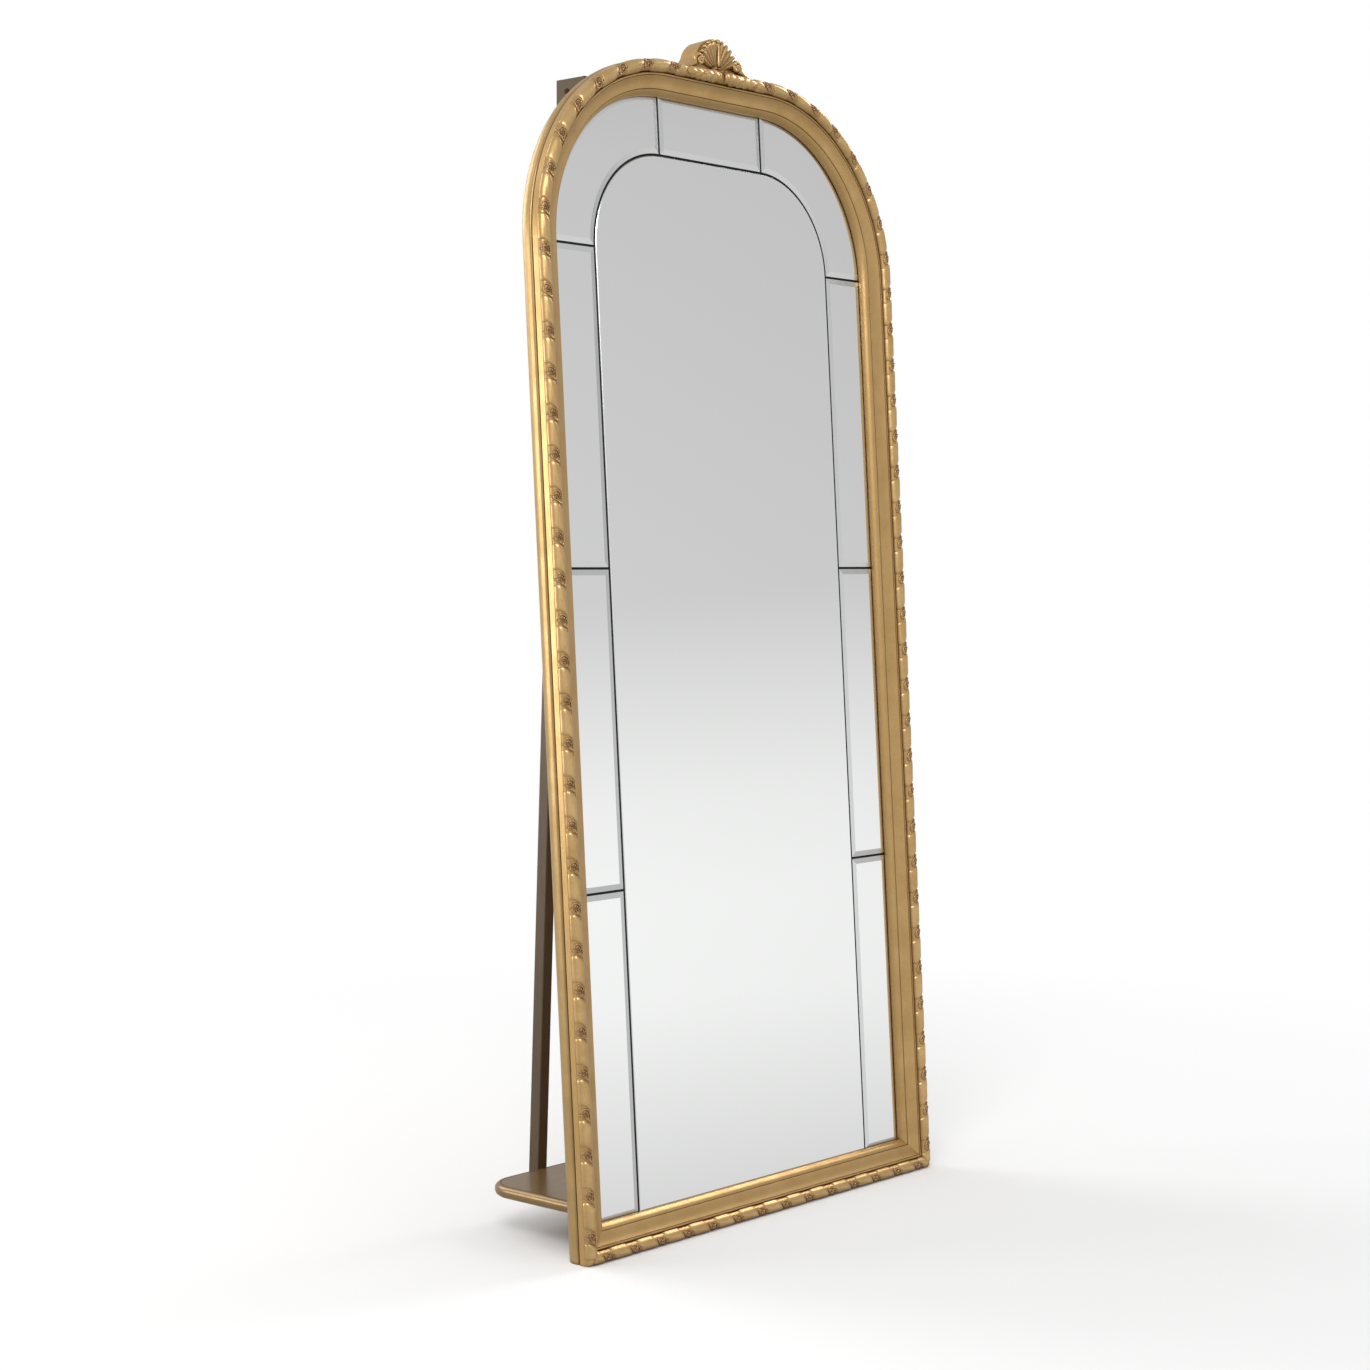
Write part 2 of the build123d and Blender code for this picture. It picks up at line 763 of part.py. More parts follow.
def board_screws():
    """Screws through the side boards into the ends of the hook board and of the upper batten."""
    board_depth = board_rear - hook_board_inset - hook_board_thickness / 2
    top = board_top - board_screw_inset
    low = top - hook_board_height + 1.5 * board_screw_inset
    batten = lean_back(Pos(0, frame_back + batten_thickness / 2, upper_batten_middle())).position
    spots = [(board_depth, top), (board_depth, low), (batten.Y, batten.Z)]
    return [
        screw((side * post_outer, y, z), (-side, 0, 0), long_screw_length) for side in (-1, 1) for y, z in spots
    ]


def upper_batten_middle():
    """Height of the middle of the upper batten on the upright mirror."""
    top = (board_top - sight_height) / math.cos(math.radians(lean)) - edge_round
    return top - upper_batten_height / 2


def batten_screws():
    """Screws through both battens into the back of the frame."""
    depth = frame_back + batten_thickness
    low = -(rebate_wall + outer_side) / 2
    high = sight_top + rebate_step / 2
    spots = [(x, low) for x in spread(lower_batten_screw_span, lower_batten_screws)]
    spots += [(x, high) for x in spread(upper_batten_screw_span, upper_batten_screws)]
    return [lean_back(screw((x, depth, z), (0, -1, 0), long_screw_length)) for x, z in spots]


def shelf_screws():
    """Screws through the front of the shelf into the lower batten, their heads flush with its top."""
    middle = math.sin(math.radians(lean)) * shelf_under + frame_back + batten_thickness / 2
    spots = spread(shelf_screw_span, shelf_screw_count)
    seat = shelf_top - screw_head_height
    return [screw((x, middle, seat), (0, 0, -1), long_screw_length) for x in spots]


def post_screws():
    """A screw through the foot of each post into the back edge of the shelf."""
    height = shelf_under + shelf_thickness / 2
    middle = (post_outer + post_inner) / 2
    return [screw((side * middle, post_rear(height), height), (0, -1, 0), long_screw_length) for side in (-1, 1)]


def post_dowels():
    """A dowel between the top of each post and its side board."""
    middle = (post_outer + post_inner) / 2
    peg = Cylinder(dowel_radius, dowel_length)
    return [Pos(side * middle, board_rear - post_depth / 2, board_foot) * peg for side in (-1, 1)]


def foot_places():
    """The middles of the two feet, left and right."""
    return [(side * foot_offset, shelf_rear - foot_inset) for side in (-1, 1)]


def foot(place):
    """A turned bun foot with a neck and a collar under the shelf."""
    top = shelf_under
    neck_top = top - foot_collar_height
    bun_middle = glide_thickness + foot_radius
    neck_low = bun_middle + math.sqrt(foot_radius ** 2 - foot_neck_radius ** 2)
    low_angle = -math.degrees(math.acos(glide_radius / foot_radius))
    high_angle = math.degrees(math.acos(foot_neck_radius / foot_radius))
    bun = around((0, bun_middle), foot_radius, low_angle, high_angle)
    low = start_of(bun)
    edges = [
        line((0, low[1]), low),
        bun,
        line(end_of(bun), (foot_neck_radius, neck_top)),
        line((foot_neck_radius, neck_top), (foot_collar_radius, neck_top)),
        line((foot_collar_radius, neck_top), (foot_collar_radius, top)),
        line((foot_collar_radius, top), (0, top)),
        line((0, top), (0, low[1])),
    ]
    turned = revolve(Plane.XZ * Face(Wire(edges)), axis=Axis.Z)
    return Pos(*place, 0) * turned


def foot_studs():
    """A stud that screws each foot to the shelf."""
    stud = Cylinder(dowel_radius, foot_stud_length)
    return [Pos(*place, shelf_under) * stud for place in foot_places()]


def glide(place):
    """The felt glide under a foot."""
    height = glide_thickness + foot_radius - math.sqrt(foot_radius ** 2 - glide_radius ** 2)
    return Pos(*place, height / 2) * Cylinder(glide_radius, height)


def group(pieces):
    """Separate solids that share one node."""
    return Compound([solid for piece in pieces for solid in piece.solids()])


def mirror_nodes():
    """Every piece of the upright mirror, by name."""
    nodes = {}
    for kind, section in (("face", face_section()), ("carcass", carcass_section())):
        for name, side in (("left", -1), ("right", 1)):
            nodes[f"{kind}_stile_{name}"] = stile(section, side) & stile_mitre(side)
            nodes[f"{kind}_arch_{name}"] = arch(section, side)
        nodes[f"{kind}_rail_top"] = top_rail(section)
        nodes[f"{kind}_rail_bottom"] = bottom_rail(section) & rail_mitre()
    bed = Pos(bed_centre, bed_rise) * Circle(bed_radius)
    places = run_knot_places()
    turns = ribbon_turns(left_run(ribbon_section(ribbon_thickness)), places)
    knots = ribbon_knots(left_run(ribbon_section(knot_thickness)), left_run(bed), places)
    for kind, pieces in (("turns", turns), ("knots", knots)):
        nodes[f"ribbon_{kind}_left"] = pieces
        nodes[f"ribbon_{kind}_right"] = mirror(pieces, about=Plane.YZ)
    places = bottom_knot_places()
    turns = bottom_rail(ribbon_section(ribbon_thickness)) & rail_mitre()
    strip = bottom_rail(ribbon_section(knot_thickness)) & rail_mitre()
    nodes["ribbon_turns_bottom"] = ribbon_turns(turns, places)
    nodes["ribbon_knots_bottom"] = ribbon_knots(strip, bottom_rail(bed), places)
    nodes["crest_block"] = crest_block()
    nodes["crest_carving"] = crest_carving()
    nodes["mirror_centre"] = centre_pane()
    nodes["mirror_top"] = top_pane()
    for name, side in (("left", -1), ("right", 1)):
        nodes[f"mirror_corner_{name}"] = corner_pane(side)
        for row in range(strip_rows):
            nodes[f"mirror_strip_{name}_{row + 1}"] = side_pane(side, row)
    nodes["backing_board"] = back_panel(backing_thickness, pane_thickness)
    nodes["back_cover"] = back_panel(cover_thickness, pane_thickness + backing_thickness)
    nodes["cover_clips"] = group(retainer_clips())
    nodes["cover_clip_screws"] = group(clip_screws())
    nodes["joint_plates"] = group(joint_plates())
    nodes["joint_plate_screws"] = group(joint_plate_screws())
    return nodes


def rack_nodes():
    """Every piece of the rack behind the mirror, by name."""
    nodes = {
        "lower_batten": lower_batten(),
        "upper_batten": upper_batten(),
        "batten_screws": group(batten_screws()),
        "shelf": shelf(),
        "shelf_screws": group(shelf_screws()),
        "hook_board": hook_board(),
        "hook_screws": group(hook_screws()),
        "board_screws": group(board_screws()),
        "post_screws": group(post_screws()),
        "post_dowels": group(post_dowels()),
        "foot_studs": group(foot_studs()),
    }
    for name, side in (("left", -1), ("right", 1)):
        nodes[f"post_{name}"] = post(side)
        nodes[f"side_board_{name}"] = side_board(side)
    for name, place in zip(("left", "right"), foot_places()):
        nodes[f"foot_{name}"] = foot(place)
        nodes[f"foot_glide_{name}"] = glide(place)
    for number, x in enumerate(spread(hook_span, hook_count), start=1):
        nodes[f"coat_hook_{number}"] = coat_hook(x)
    return nodes


def drill(nodes, fixings, boards):
    """Cut the holes for a group of fixings into the pieces that they pass through."""
    for board in boards:
        nodes[board] = nodes[board] - nodes[fixings]


def all_nodes():
    """Every piece of the object in its place above the floor."""
    nodes = {name: lean_back(shape) for name, shape in mirror_nodes().items()}
    for name in list(nodes):
        lowest = ribbon_floor_gap if name.startswith("ribbon") else 0.0
        if name.endswith("bottom") or "stile" in name or name.startswith("ribbon"):
            nodes[name] = above(nodes[name], lowest)
    nodes.update(rack_nodes())
    stiles = ["carcass_stile_left", "carcass_stile_right"]
    arches = ["carcass_arch_left", "carcass_arch_right"]
    drill(nodes, "cover_clip_screws", ["cover_clips"] + stiles + arches)
    drill(nodes, "joint_plate_screws", ["joint_plates"] + stiles + arches)
    drill(nodes, "batten_screws", ["lower_batten", "upper_batten", "carcass_rail_top", "carcass_rail_bottom"])
    drill(nodes, "shelf_screws", ["shelf", "lower_batten"])
    drill(nodes, "board_screws", ["side_board_left", "side_board_right", "hook_board", "upper_batten"])
    drill(nodes, "post_screws", ["post_left", "post_right", "shelf"])
    drill(nodes, "post_dowels", ["post_left", "post_right", "side_board_left", "side_board_right"])
    hooks = [f"coat_hook_{number + 1}" for number in range(hook_count)]
    drill(nodes, "hook_screws", hooks + ["hook_board"])
    drill(nodes, "foot_studs", ["foot_left", "foot_right", "shelf"])
    return nodes


def centred(nodes):
    """The same pieces moved so that the origin lies on the floor under the middle."""
    boxes = [shape.bounding_box() for shape in nodes.values()]
    front = min(box.min.Y for box in boxes)
    rear = max(box.max.Y for box in boxes)
    middle = (front + rear) / 2
    print(f"moved forward by {middle:.4f} mm, {rear - front:.2f} mm deep")
    return {name: Pos(0, -middle, 0) * shape for name, shape in nodes.items()}


os.makedirs("parts", exist_ok=True)
for node_name, node_shape in centred(all_nodes()).items():
    solids = node_shape.solids()
    export_step(solids[0] if len(solids) == 1 else Compound(solids), f"parts/{node_name}.step")
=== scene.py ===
import json
import math

import bpy
import numpy as np
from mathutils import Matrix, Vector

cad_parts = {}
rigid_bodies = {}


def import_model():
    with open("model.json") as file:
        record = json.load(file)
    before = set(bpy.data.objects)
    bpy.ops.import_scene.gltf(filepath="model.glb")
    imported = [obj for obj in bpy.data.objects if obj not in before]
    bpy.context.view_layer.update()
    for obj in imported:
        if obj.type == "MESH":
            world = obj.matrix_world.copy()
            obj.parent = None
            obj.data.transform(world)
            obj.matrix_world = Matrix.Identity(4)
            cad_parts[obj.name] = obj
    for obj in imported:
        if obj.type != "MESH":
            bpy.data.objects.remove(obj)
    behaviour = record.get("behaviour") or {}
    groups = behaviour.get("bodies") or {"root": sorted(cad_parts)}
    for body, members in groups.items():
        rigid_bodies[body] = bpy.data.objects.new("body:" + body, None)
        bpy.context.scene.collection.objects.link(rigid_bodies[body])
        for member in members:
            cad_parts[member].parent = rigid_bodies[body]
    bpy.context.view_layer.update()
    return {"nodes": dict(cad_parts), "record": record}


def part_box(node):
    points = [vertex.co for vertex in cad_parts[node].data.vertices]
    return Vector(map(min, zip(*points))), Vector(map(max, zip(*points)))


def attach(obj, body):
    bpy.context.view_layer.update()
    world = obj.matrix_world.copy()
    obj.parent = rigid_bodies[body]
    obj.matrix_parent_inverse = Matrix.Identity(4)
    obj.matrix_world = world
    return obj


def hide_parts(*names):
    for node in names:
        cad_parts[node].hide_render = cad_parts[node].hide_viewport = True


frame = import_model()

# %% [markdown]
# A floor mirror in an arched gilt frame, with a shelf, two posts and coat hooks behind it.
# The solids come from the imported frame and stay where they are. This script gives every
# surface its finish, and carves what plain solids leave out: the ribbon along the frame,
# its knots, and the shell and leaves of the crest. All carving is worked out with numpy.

millimetre = 0.001
lean = math.radians(3.52)
sight_height = 54.0
shelf_rear = 243.0
sight_half_width = 387.0
sight_top = 1794.0
sight_radius = 258.0
bed_radius = 9.6
bed_rise = 22.6
bed_centre = 45.5
outer_side = 56.1
crest_half_length = 88.0
crest_front = 17.0

flat_half_length = sight_half_width - sight_radius
spring_height = sight_top - sight_radius
middle_depth = shelf_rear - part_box("shelf")[1][1] / millimetre
print(f"the whole was moved forward by {middle_depth:.3f} mm to centre it")

# %% [markdown]
# The mirror leans back. It is easier to carve it upright, with x across, y backwards from
# the glass and z up from the lower sight line, and to lean each finished point afterwards.


# %% From the upright mirror to the leaning one
def leaning(across, back, up):
    """Upright millimetres to leaning metres: turn about the sight line, lift, centre."""
    depth = back * math.cos(lean) + up * math.sin(lean) - middle_depth
    height = up * math.cos(lean) - back * math.sin(lean) + sight_height
    across, depth, height = np.broadcast_arrays(across, depth, height)
    return np.stack([across, depth, height], axis=-1) * millimetre


print("foot of the sight line:", np.round(leaning(0.0, 0.0, 0.0), 4))

# %% [markdown]
# Each carved piece is a stack of grids. A grid has rows and columns of points, and its
# columns close into a ring, so that the piece is a closed skin. Rows that shrink to a
# point or a line are joined afterwards, which closes the ends as well.


# %% From grids of points to a mesh
def new_mesh(name, points, faces, corner):
    """Join equal points, drop collapsed faces and shade smooth, except over sharp corners."""
    keys, index = np.unique(np.round(points, 7), axis=0, return_inverse=True)
    faces = index.reshape(-1)[faces]
    kept = []
    for face in faces.tolist():
        ring = [vertex for i, vertex in enumerate(face) if vertex != face[i - 1]]
        if len(set(ring)) == len(ring) and len(ring) > 2:
            kept.append(ring)
    mesh = bpy.data.meshes.new(name)
    mesh.from_pydata(keys.tolist(), [], kept)
    mesh.validate()
    mesh.shade_smooth()
    mesh.set_sharp_from_angle(angle=math.radians(corner))
    return mesh


def carved(name, grids, slot, *nodes, corner=50.0):
    """One object from a list of (grid stack, flip) pairs, standing for the named nodes."""
    points, faces, count = [], [], 0
    for stack, flip in grids:
        pieces, rows, columns = stack.shape[:3]
        index = np.arange(pieces * rows * columns).reshape(pieces, rows, columns) + count
        index = np.concatenate([index, index[:, :, :1]], axis=2)
        near, far = index[:, :-1], index[:, 1:]
        quads = np.stack([near[..., :-1], far[..., :-1], far[..., 1:], near[..., 1:]], -1).reshape(-1, 4)
        faces.append(quads[:, ::-1] if flip else quads)
        points.append(stack.reshape(-1, 3))
        count += pieces * rows * columns
    mesh = new_mesh(name, np.concatenate(points), np.concatenate(faces), corner)
    piece = bpy.data.objects.new(name, mesh)
    bpy.context.scene.collection.objects.link(piece)
    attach(piece, "root")
    if nodes:
        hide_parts(*nodes)
    print(f"{name}: {len(mesh.polygons)} faces")
    return piece


print("helpers:", new_mesh.__name__, carved.__name__)

# %% [markdown]
# The ribbon is wound round a half-round roll that follows the frame. Its own coordinates
# are the way along the roll, the way around it, and how far a point stands proud of it.
# A carver thinks in the same way: the pattern is drawn flat and then bent over the roll.


# %% Bending the pattern over the roll
def left_run(distance):
    """Up the left stile, round the arch corner and along the top: centre and outward direction."""
    straight = spring_height + bed_centre
    radius = sight_radius + bed_centre
    turn = np.clip((distance - straight) / radius, 0.0, math.pi / 2)
    rest = np.maximum(distance - straight - math.pi / 2 * radius, 0.0)
    across = rest - flat_half_length - radius * np.cos(turn)
    up = spring_height + radius * np.sin(turn) + np.minimum(distance - straight, 0.0)
    return across, up, -np.cos(turn), np.sin(turn)


def bottom_run(distance):
    """From the left mitre to the right one: centre and outward direction."""
    across = distance - sight_half_width - bed_centre
    return across, np.full_like(across, -bed_centre), np.zeros_like(across), -np.ones_like(across)


def top_run(distance):
    """Along the top rail, counted from its middle."""
    up = np.full_like(distance, sight_top + bed_centre)
    return distance, up, np.zeros_like(distance), np.ones_like(distance)


def on_roll(run, along, around, proud, side=1.0):
    """The roll's centre, plus its radius and the proud height at an angle of around / radius."""
    along, around, proud = np.broadcast_arrays(along, around, proud)
    angle = around / bed_radius
    out = (bed_radius + proud) * np.sin(angle)
    across, up, out_across, out_up = run(along)
    front = bed_rise + (bed_radius + proud) * np.cos(angle)
    return leaning(side * (across + out_across * out), -front, up + out_up * out)


crown = on_roll(top_run, np.array([0.0]), 0.0, 0.0)
print("middle of the top roll:", np.round(crown, 4))

# %% [markdown]
# Turns and knots take turns along the roll at one even step. A knot never falls on a
# mitre, because the first and the last one lie half a step from the ends of the run.

# %% Where the turns and knots lie
ribbon_pitch = 64.0
ribbon_gap = 21.0
ribbon_slope = 0.47
ribbon_wrap = math.radians(102.0) * bed_radius
left_length = spring_height + bed_centre + math.pi / 2 * (sight_radius + bed_centre)
left_length += flat_half_length - crest_half_length
bottom_length = 2 * (sight_half_width + bed_centre)


def knot_distances(length):
    """Knots spread evenly at about one pitch, half a step in from both ends."""
    count = round(length / ribbon_pitch)
    return (np.arange(count) + 0.5) * length / count


print("knots on a side:", len(knot_distances(left_length)))
print("knots on the bottom:", len(knot_distances(bottom_length)))

# %% [markdown]
# A turn of the ribbon swells in its middle and dives under the roll at its edges. Both of
# its ends run aslant, in an S, because the ribbon is wound and not laid straight across.

# %% The turns of the ribbon
turn_thickness = 1.9
sunk = -0.6
s_curve = 1.7
fold_height = 0.8
fold_place = 0.12
fold_slant = 0.22
fold_width = 0.13
end_power = 6
edge_power = 8
crown_share = 0.86
crown_fall = 1.5
turn_rows = 19
turn_columns = 33
under_columns = 5


def ring_parameters():
    """Columns of a ring: over the top from -1 to 1, then back underneath, and a mask of the top."""
    over = np.linspace(-1.0, 1.0, turn_columns)
    under = np.linspace(1.0, -1.0, under_columns + 2)[1:-1]
    top = np.concatenate([np.ones(turn_columns), np.zeros(under_columns)])
    return np.concatenate([over, under]), top


def slanted(around):
    """How far a place is shifted along the run: a slope outwards with an S laid over it."""
    out = bed_radius * np.sin(around / bed_radius)
    return ribbon_slope * out + s_curve * np.sin(math.pi * out / bed_radius)


def turn_grids(run, length, side=1.0):
    """Proud height = thickness (1 - a^6)^0.5 (1 - b^8)^0.5, plus a bell-shaped fold set aslant."""
    knots = knot_distances(length)
    starts = np.concatenate([[0.0], knots + ribbon_gap / 2])
    ends = np.concatenate([knots - ribbon_gap / 2, [length]])
    a = np.linspace(-1.0, 1.0, turn_rows)[None, :, None]
    b, top = ring_parameters()
    b, top = b[None, None, :], top[None, None, :]
    crown = crown_share + (1 - crown_share) * np.cos(b * crown_fall)
    swell = np.sqrt(1 - np.abs(a) ** end_power) * np.sqrt(1 - np.abs(b) ** edge_power) * crown
    ridge = np.exp(-((b - fold_place - fold_slant * a) / fold_width) ** 2)
    fold = fold_height * ridge * (1 - a ** 2)
    proud = sunk + ((turn_thickness - sunk) * swell + fold) * top
    around = b * ribbon_wrap * np.ones_like(a)
    middle = (starts + ends)[:, None, None] / 2
    half = (ends - starts)[:, None, None] / 2
    at_start = (starts[:, None, None] == 0.0) & (a < 0)
    at_end = (ends[:, None, None] == length) & (a > 0)
    shift = slanted(around) * np.where(at_start | at_end, 1 - np.abs(a), 1.0)
    return on_roll(run, middle + half * a + shift, around, proud, side)


left_turns = turn_grids(left_run, left_length)
right_turns = turn_grids(left_run, left_length, -1.0)
carved("ribbon_left", [(left_turns, False)], "gilt_carving", "ribbon_turns_left")
carved("ribbon_right", [(right_turns, True)], "gilt_carving", "ribbon_turns_right")

# %% [markdown]
# The bottom ribbon meets the side ribbons in a mitre, and the floor cuts the lowest edge
# of the frame. So the bottom turns are drawn in at both ends and kept off the floor.

# %% The bottom ribbon
floor_gap = 0.0006


def off_floor(stack):
    """Points under the floor gap are lifted to it."""
    stack[..., 2] = np.maximum(stack[..., 2], floor_gap)
    return stack


bottom_turns = off_floor(turn_grids(bottom_run, bottom_length))
carved("ribbon_bottom", [(bottom_turns, True)], "gilt_carving", "ribbon_turns_bottom")

# %% [markdown]
# Between two turns sits a knot: a curl that loops round a small flower, and runs out in a
# tail towards the rim. Petals come from one cosine round the flower, and the curl is a
# thin round cord whose middle line is a spiral.

# %% Flowers and curls
petals = 5
petal_depth = 0.2
bud_height = 0.3
bud_width = 0.16
heart_depth = 0.35
heart_place = 0.3
heart_width = 0.12
flower_rows = 9
flower_columns = 30
cord_columns = 8


def flower(radius, height):
    """Reach = radius (0.8 + 0.2 cos 5t); the height falls to the rim, dips round the heart and buds."""
    turn = np.linspace(0.0, 2 * math.pi, flower_columns, endpoint=False)[None, :]
    way = np.concatenate([np.linspace(0.0, 1.0, flower_rows), np.linspace(1.0, 0.0, 3)[1:]])[:, None]
    top = np.concatenate([np.ones(flower_rows), np.zeros(2)])[:, None]
    reach = radius * (1 - petal_depth + petal_depth * np.cos(petals * turn)) * way
    ridge = 0.72 + 0.28 * np.cos(petals * turn)
    dome = height * np.sqrt(np.maximum(1 - way ** 3, 0.0)) * (ridge * way + (1 - way))
    bud = bud_height * height * np.exp(-(way / bud_width) ** 2)
    dip = heart_depth * height * np.exp(-((way - heart_place) / heart_width) ** 2)
    closing = np.sqrt(np.maximum(1 - way ** edge_power, 0.0))
    proud = np.where(top > 0, (dome - dip + bud) * closing + sunk, sunk)
    return reach * np.cos(turn), reach * np.sin(turn), proud


def cord(line_along, line_around, radius, lift):
    """A ring of points round each point of a middle line, thinned to nothing at both ends."""
    step_along, step_around = np.gradient(line_along), np.gradient(line_around)
    size = np.hypot(step_along, step_around)
    angle = np.linspace(0.0, 2 * math.pi, cord_columns, endpoint=False)[None, :]
    way = np.linspace(0.0, 1.0, len(line_along))
    thin = (radius * (1 - np.abs(2 * way - 1) ** edge_power))[:, None]
    along = line_along[:, None] - (step_around / size)[:, None] * thin * np.cos(angle)
    around = line_around[:, None] + (step_along / size)[:, None] * thin * np.cos(angle)
    return along, around, lift + thin * np.sin(angle)


print("a flower has", flower_columns * (flower_rows + 2), "points")

# %% [markdown]
# One knot is a flower with a curl round it. The same knot is set at every knot place by
# adding the places to its own coordinates along the roll, all in one array.

# %% The knots
curl_points = 40
curl_reach = 8.6
curl_radius = 1.5
flower_radius = 5.8
flower_height = 3.4
flower_around = 2.6
tail_end = 16.0
curl_lift = 0.25
loop_share = 0.72
loop_start = math.radians(150.0)
loop_turn = math.radians(400.0)
loop_growth = 0.18
tail_draw = 0.35


def curl_line():
    """A spiral of a little over one turn about the flower that ends in a tail towards the rim."""
    way = np.linspace(0.0, 1.0, curl_points)
    loop = np.minimum(way / loop_share, 1.0)
    angle = loop_start - loop * loop_turn
    reach = curl_reach * (1 - loop_growth + loop_growth * loop)
    tail = np.maximum(way - loop_share, 0.0) / (1 - loop_share)
    along = reach * np.cos(angle) * (1 - tail_draw * tail)
    around = flower_around + reach * np.sin(angle) * (1 - tail) + tail * (tail_end - flower_around)
    return along, around


def knot_grids(run, length, side=1.0):
    """All flowers and curls of one run."""
    knots = knot_distances(length)[:, None, None]
    along, around, proud = flower(flower_radius, flower_height)
    middle = knots + slanted(flower_around)
    flowers = on_roll(run, middle + along, around + flower_around, proud, side)
    along, around, proud = cord(*curl_line(), curl_radius, curl_lift)
    return [flowers, on_roll(run, knots + along + slanted(around), around, proud, side)]


def faced(grids, flips):
    """Pair each grid with the side its faces point to."""
    return list(zip(grids, flips))


outwards = [True, False]
inwards = [not flip for flip in outwards]
left_knots = knot_grids(left_run, left_length)
right_knots = knot_grids(left_run, left_length, -1.0)
bottom_knots = [off_floor(grid) for grid in knot_grids(bottom_run, bottom_length)]
carved("knots_left", faced(left_knots, outwards), "gilt_carving", "ribbon_knots_left")
carved("knots_right", faced(right_knots, inwards), "gilt_carving", "ribbon_knots_right")
carved("knots_bottom", faced(bottom_knots, inwards), "gilt_carving", "ribbon_knots_bottom")

# %% [markdown]
# The crest is a domed block with a carved shell in front. The shell is a fan whose flutes
# come from a cosine of the fan angle. Beads line its rim, a stem divides it, scrolls end
# it on both sides, and leaves run out from the flowers at its foot along the frame.

# %% The shell of the crest
shell_root = sight_top + outer_side
shell_reach = 51.0
shell_spread = math.radians(72.0)
shell_flutes = 11
shell_back = crest_front - 0.4
shell_narrowing = 0.08
rim_wave = 0.035
bowl_start = 5.0
bowl_rise = 6.5
flute_depth = 2.0
side_fall = 3.0
rim_power = 30
fan_rows = 24
fan_columns = 121


def fan_reach(spread):
    """The rim of the fan: its full reach in the middle, a little less towards both sides."""
    return shell_reach * (1 - shell_narrowing * (spread / shell_spread) ** 2)


def shell_grid():
    """Reach = rim (1 - 0.035 cos of the flutes); front = a bowl up to the rim, less the flutes."""
    spread = np.linspace(-shell_spread, shell_spread, fan_columns)[None, :]
    way = np.linspace(0.0, 1.0, fan_rows)[:, None]
    wave = np.cos(2 * math.pi * shell_flutes * (spread + shell_spread) / (2 * shell_spread))
    reach = way * fan_reach(spread) * (1 - rim_wave * wave)
    bowl = bowl_start + bowl_rise * way ** 2
    bowl = bowl - flute_depth * wave * way ** 0.7 - side_fall * (spread / shell_spread) ** 8
    front = crest_front + bowl * (1 - way ** rim_power)
    across = reach * np.sin(spread)
    up = shell_root + reach * np.cos(spread)
    top = leaning(across, -front, up)
    back = leaning(across, -shell_back, up)
    return np.concatenate([top, back[:, ::-1]], axis=1)[None]


shell = shell_grid()
print("shell height:", round(float(np.ptp(shell[..., 2])), 4))

# %% [markdown]
# Beads, stem, scrolls and shoulders are all round in section. Balls come from two angles.
# A limb is a ring of points carried along a line, with a radius that may change on the way.


# %% Round forms of the crest
scroll_across = 47.0
scroll_up = 14.0
scroll_reach = 11.0
scroll_start = math.radians(-60.0)
scroll_turn = math.radians(560.0)
scroll_narrowing = 0.85
shoulder_start = 54.0
shoulder_run = 31.0
shoulder_drop = 15.0
bead_front = crest_front + 7.0
bead_share = 0.93
stem_foot = 6.0
stem_length = 43.0
stem_thickness = 3.4
stem_thinning = 1.4
scroll_front = crest_front + 5.0
scroll_thickness = 4.0
scroll_thinning = 1.9
shoulder_front = crest_front + 3.0
shoulder_sink = 3.0
shoulder_hollow = 1.7
shoulder_thickness = 6.2
shoulder_thinning = 3.4
ball_rows = 11
ball_columns = 16


def ball_grid(centres, radius):
    """Balls about the given centres of the upright mirror (across, front, up)."""
    rise = np.linspace(-math.pi / 2, math.pi / 2, ball_rows)[:, None]
    turn = np.linspace(0.0, 2 * math.pi, ball_columns, endpoint=False)[None, :]
    across, front, up = [np.asarray(values, float)[:, None, None] for values in zip(*centres)]
    level = radius * np.cos(rise)
    back = -(front + level * np.sin(turn))
    return leaning(across + level * np.cos(turn), back, up + radius * np.sin(rise))


def tube_grid(line, radii, columns=12):
    """Rings of the given radii round a line of points in (across, front, up)."""
    line = np.asarray(line, float)
    ahead = np.gradient(line, axis=0)
    ahead = ahead / np.linalg.norm(ahead, axis=1, keepdims=True)
    facing = np.cross(ahead, np.array([0.0, 1.0, 0.0]))
    facing = facing / np.linalg.norm(facing, axis=1, keepdims=True)
    other = np.cross(facing, ahead)
    turn = np.linspace(0.0, 2 * math.pi, columns, endpoint=False)[None, :, None]
    spoke = facing[:, None] * np.cos(turn) + other[:, None] * np.sin(turn)
    ring = line[:, None] + radii[:, None, None] * spoke
    return leaning(ring[..., 0], -ring[..., 1], ring[..., 2])[None]


def rim_beads():
    """Middles of the beads where the flutes meet the rim."""
    angles = np.linspace(-shell_spread, shell_spread, shell_flutes) * bead_share
    reach = fan_reach(angles)
    front = np.full(shell_flutes, bead_front)
    return np.stack([reach * np.sin(angles), front, shell_root + reach * np.cos(angles)], axis=1)


def stem():
    """The stem between the two halves of the shell."""
    way = np.linspace(0.0, 1.0, 16)
    up = shell_root + stem_foot + stem_length * way
    line = np.stack([0 * way, bead_front + 3.0 * way, up], axis=1)
    closing = np.sqrt(np.maximum(1 - way ** 10, 0.0)) * np.minimum(1.0, way * 8)
    return tube_grid(line, (stem_thickness - stem_thinning * way) * closing)


